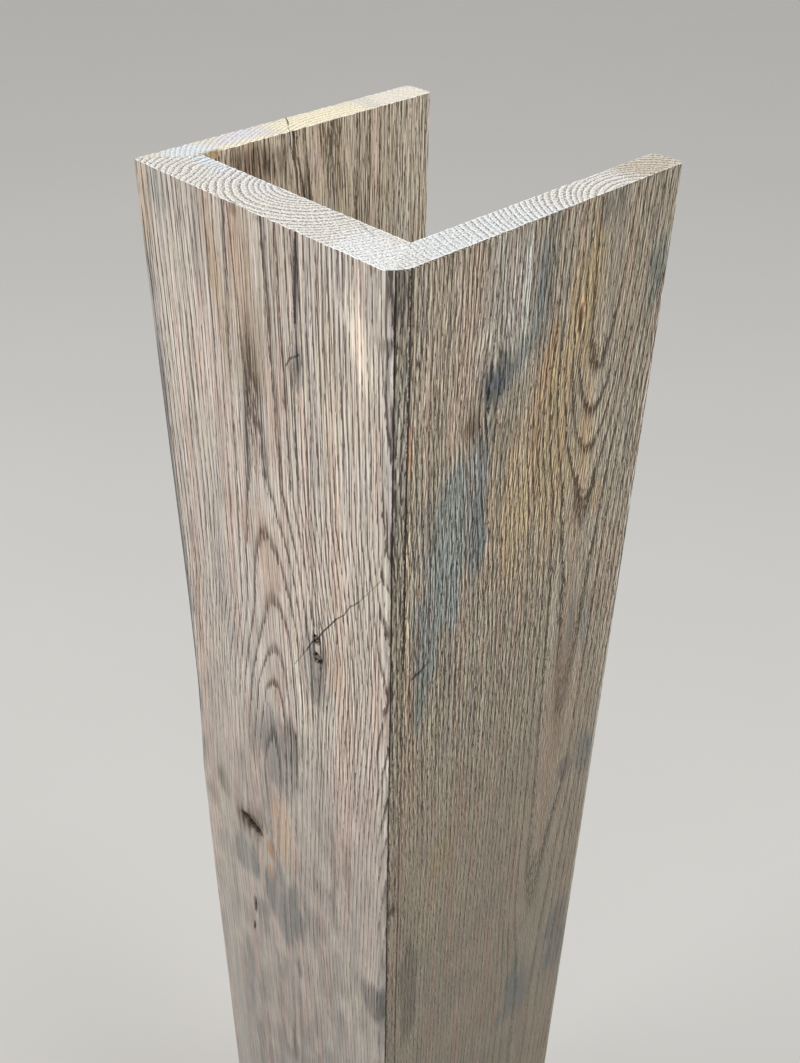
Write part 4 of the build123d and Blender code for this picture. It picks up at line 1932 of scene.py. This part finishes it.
def make_right_board(section: Section) -> SideBoard:
    """Describe the right side board as the photograph shows it."""
    growth = Growth(
        heart=(
            Pith(0, 155, -23), Pith(0.5, 155, -34.2), Pith(50, 154, -35.2), Pith(95, 152, -37.2),
            Pith(134, 152, -41), Pith(168, 154, -45), Pith(240, 156, -49), Pith(400, 158, -52),
            Pith(1200, 150, -60),
        ),
        ring_width=3.1,
        wander=1.5,
        seed=202,
        swerves=(Swerve(68, 84, 18, 36, 6), Swerve(134, 62, 7, 16, 3)),
    )
    return SideBoard(
        section=section,
        node="right_side_board",
        slot="right_oak",
        growth=growth,
        # Colours darker than the face board's: partly the oak's own olive-brown tone, partly painted shade
        # of this side, which faces away from the light
        finish=BrushedOak(
            "right_oak_brushed", tone(74, 65, 56), tone(156, 144, 129), tone(217, 205, 186),
            line_width=0.75, line_length=22.0, line_depth=0.1, pore_width=0.55, pore_length=4.2,
            pore_depth=0.26, hair_width=0.8, hair_length=7.5, hair_depth=0.46, ring_depth=0.14, level=0.527,
        ),
        end_finish=SawnOak("right_oak_sawn", tone(140, 132, 121), fade=(90, 30)),
        seed=2,
        arris=NEAR_ARRIS,
        column_zones=(Zone(8, 6, 1.0),),
        tears=(Tear(17, 48, 2, 5, 0.6, 0.9), Tear(24, 238, 12, 3, 0.5, 0.6), Tear(7, 432, 6, 16, 0.6, 0.7)),
        stains=(
            # Darker and greyer towards the bottom of the board
            Stain(100, 900, 420, 1300, tone(130, 122, 111), 0.8, soft=1.0),
            Stain(34, 50, 66, 130, tone(178, 162, 147), 0.85, soft=0.8),
            Stain(80, 40, 40, 100, tone(170, 165, 157), 0.85, soft=0.8),
            Stain(89, 44, 7, 84, tone(184, 180, 173), 0.8),
            Stain(103, 34, 18, 74, tone(112, 113, 113), 0.8, soft=0.8),
            Stain(82, 76, 20, 46, tone(116, 118, 118), 0.7, lean=0.8, soft=0.8),
            Stain(69, 78, 24, 36, tone(82, 84, 88), 0.95, lean=0.3, soft=0.8),
            Stain(55, 96, 18, 20, UMBER, 0.8, soft=0.8),
            Stain(64, 106, 24, 26, tone(120, 116, 110), 0.7, soft=0.8),
            Stain(122, 146, 84, 140, tone(162, 143, 113), 0.75, soft=0.8),
            Stain(88, 150, 40, 120, tone(170, 151, 125), 0.75, soft=0.6),
            Stain(138, 54, 26, 110, GOLD, 0.85, soft=0.7),
            Stain(114, 96, 22, 64, GOLD, 0.7, soft=0.7),
            Stain(170, 60, 50, 130, tone(154, 140, 124), 0.7, soft=0.9),
            Stain(134, 60, 5, 14, RUST, 0.9),
            Stain(114, 68, 4, 22, tone(168, 132, 104), 0.8),
            Stain(108, 82, 4, 22, tone(168, 132, 104), 0.7),
            Stain(146, 10, 9, 18, tone(104, 102, 100), 0.7),
            Stain(198, 56, 20, 56, tone(116, 118, 112), 0.85, soft=0.7),
            Stain(51, 124, 48, 36, BLUE_GREY, 0.8, soft=0.7),
            Stain(45, 160, 60, 80, tone(134, 136, 132), 0.9, soft=0.5),
            Stain(65, 150, 12, 100, tone(110, 114, 114), 0.75, soft=0.5),
            Stain(38, 200, 48, 44, tone(134, 136, 132), 0.85, soft=0.6),
            Stain(26, 226, 22, 64, tone(126, 129, 126), 0.85, soft=0.6),
            Stain(23, 268, 9, 60, tone(114, 120, 116), 0.8),
            Stain(158, 282, 7, 46, tone(116, 120, 118), 0.7),
            Stain(174, 292, 9, 46, tone(116, 120, 118), 0.7),
            Stain(168, 190, 9, 30, tone(158, 128, 104), 0.6),
            Stain(205, 400, 5, 900, ASH, 0.6),
            Stain(22, 540, 18, 140, tone(112, 104, 96), 0.7),
            Stain(48, 414, 28, 44, tone(152, 138, 112), 0.7),
            Stain(192, 424, 18, 64, tone(118, 119, 117), 0.7),
            Stain(172, 422, 18, 26, tone(116, 106, 104), 0.7),
            Stain(145, 660, 44, 80, tone(116, 117, 115), 0.7),
            Stain(192, 634, 30, 110, tone(116, 117, 115), 0.7),
            Stain(6, 70, 12, 200, tone(176, 166, 154), 0.8, soft=0.6),
            Stain(6, 12, 9, 30, tone(116, 108, 102), 0.8),
            Stain(12.5, 92, 3, 40, tone(178, 134, 106), 0.9),
            Stain(13.5, 205, 5, 210, TAN, 0.75),
            Stain(90, 900, 60, 220, OLIVE, 0.5),
        ),
        back_stains=(
            Stain(60, 260, 50, 300, TAN, 0.5),
            Stain(140, 700, 50, 300, BLUE_GREY, 0.5),
        ),
        end_stains=(
            Stain(60, 10, 120, 40, tone(219, 222, 222), 0.7),
            Stain(192, 10, 44, 40, tone(194, 183, 166), 0.9),
        ),
        cracks=(
            # The first two draw a dark line down the whole board, 11 mm from the front, where the worn
            # rounding meets the flat face
            Crack(((11.2, -2), (11.0, 60), (10.6, 130), (11.2, 230)), 1.5, 0.92),
            Crack(((11.2, 230), (11.4, 300), (11.0, 420), (11.4, 700), (11.0, 1200)), 1.2, 0.6),
            Crack(((18, 240), (24, 239), (30, 235)), 2.0, 0.7),
            Crack(((50, 208), (74, 207), (98, 209)), 0.8, 0.3),
            Crack(((30, 252), (56, 250), (80, 253)), 0.8, 0.3),
        ),
    )


def make_left_board(section: Section) -> SideBoard:
    """Describe the left side board, whose inner face the photograph shows."""
    growth = Growth(
        heart=(Pith(0, 118, 96), Pith(300, 124, 102), Pith(1200, 110, 94)),
        ring_width=2.7,
        wander=1.8,
        seed=303,
    )
    return SideBoard(
        section=section,
        node="left_side_board",
        slot="left_oak",
        growth=growth,
        # Colours lighter than the right board's: partly the oak's own tone, partly painted light that lifts
        # the inner face in the shaded hollow
        finish=BrushedOak(
            "left_oak_brushed", tone(98, 84, 69), tone(200, 182, 161), tone(240, 227, 208),
            line_width=0.85, line_length=26.0, line_depth=0.2, pore_length=6.0, pore_depth=0.26,
            hair_length=13.0, level=0.555,
        ),
        end_finish=SawnOak("left_oak_sawn", tone(192, 184, 166), tone(223, 217, 203), tone(246, 242, 233)),
        seed=3,
        chips=(Chip(31.5, 9.0, 3.2, 3.0),),
        arris=FAR_ARRIS,
        arris_steps=4,
        face_columns=170,
        station_count=280,
        outer_ease=5.0,
        inner_ease=2.0,
        round_tip=True,
        best_wall=Wall.INNER,
        tears=(
            Tear(62, 12, 3, 16, 0.5, 0.6),
            Tear(70, 14, 3, 14, 0.5, 0.6),
            Tear(78, 10, 2.5, 12, 0.4, 0.5),
        ),
        stains=(
            Stain(102, 22, 14, 24, PINK_TAN, 0.6),
            Stain(180, 120, 60, 420, tone(202, 188, 170), 0.8, soft=0.9),
            Stain(36, 120, 24, 160, tone(140, 122, 104), 0.6),
            Stain(62, 14, 44, 26, tone(134, 116, 98), 0.7),
            Stain(97, 44, 10, 70, tone(128, 110, 92), 0.7),
            # Darker and greyer towards the bottom of the board
            Stain(98, 900, 420, 1200, tone(150, 138, 122), 0.8, soft=1.0),
        ),
        back_stains=(
            Stain(50, 260, 60, 320, ASH, 0.5),
            Stain(140, 620, 60, 260, PALE_GREY, 0.6),
            Stain(90, 900, 60, 260, tone(170, 150, 122), 0.5),
        ),
        end_stains=(
            Stain(28, 10, 36, 34, ICE, 0.8),
            Stain(62, 8, 40, 30, LAVENDER, 0.8),
            Stain(60, 18, 60, 10, BUTTER, 0.7),
            Stain(114, 10, 74, 40, BUTTER, 0.9),
            Stain(178, 10, 60, 40, MILK, 0.8),
            Stain(35, 19, 13, 6, tone(150, 126, 80), 0.95),
        ),
        end_cracks=(
            Crack(((100.8, -1), (97, 6), (94, 10)), 0.9, 0.9),
            Crack(((94, 10), (90, 14.5), (86.6, 21)), 0.7, 0.5),
            Crack(((86.6, 21), (83, 13)), 0.5, 0.35),
        ),
        cracks=(
            Crack(((86.6, -1), (87.4, 8), (88.6, 16)), 1.0, 0.8),
            Crack(((89.2, -1), (89.6, 4)), 1.3, 0.75),
            Crack(((91.4, -1), (91.8, 5)), 1.2, 0.75),
            Crack(((94.0, -1), (93.6, 3.5)), 1.1, 0.6),
            Crack(((92, 16), (94.5, 30), (97, 48)), 1.5, 0.75),
        ),
    )


def main() -> None:
    """Build the view, the studio and the three boards."""
    Viewpoint().build()
    Studio(
        lamps=(
            SoftBox("key", (-1.4, -2.6, 2.1), (0, 0, 0.8), 1.8, 50),
            SoftBox("fill", (2.3, 0.7, 2.5), (0, 0, 0.85), 1.8, 36),
            SoftBox("overhead", (0.2, 0.4, 3.2), (0, 0, 1.0), 2.2, 4),
        ),
    ).build()
    section = Section.from_frame()
    for board in (make_face_board(section), make_right_board(section), make_left_board(section)):
        board.build()


if __name__ == "__main__":
    main()
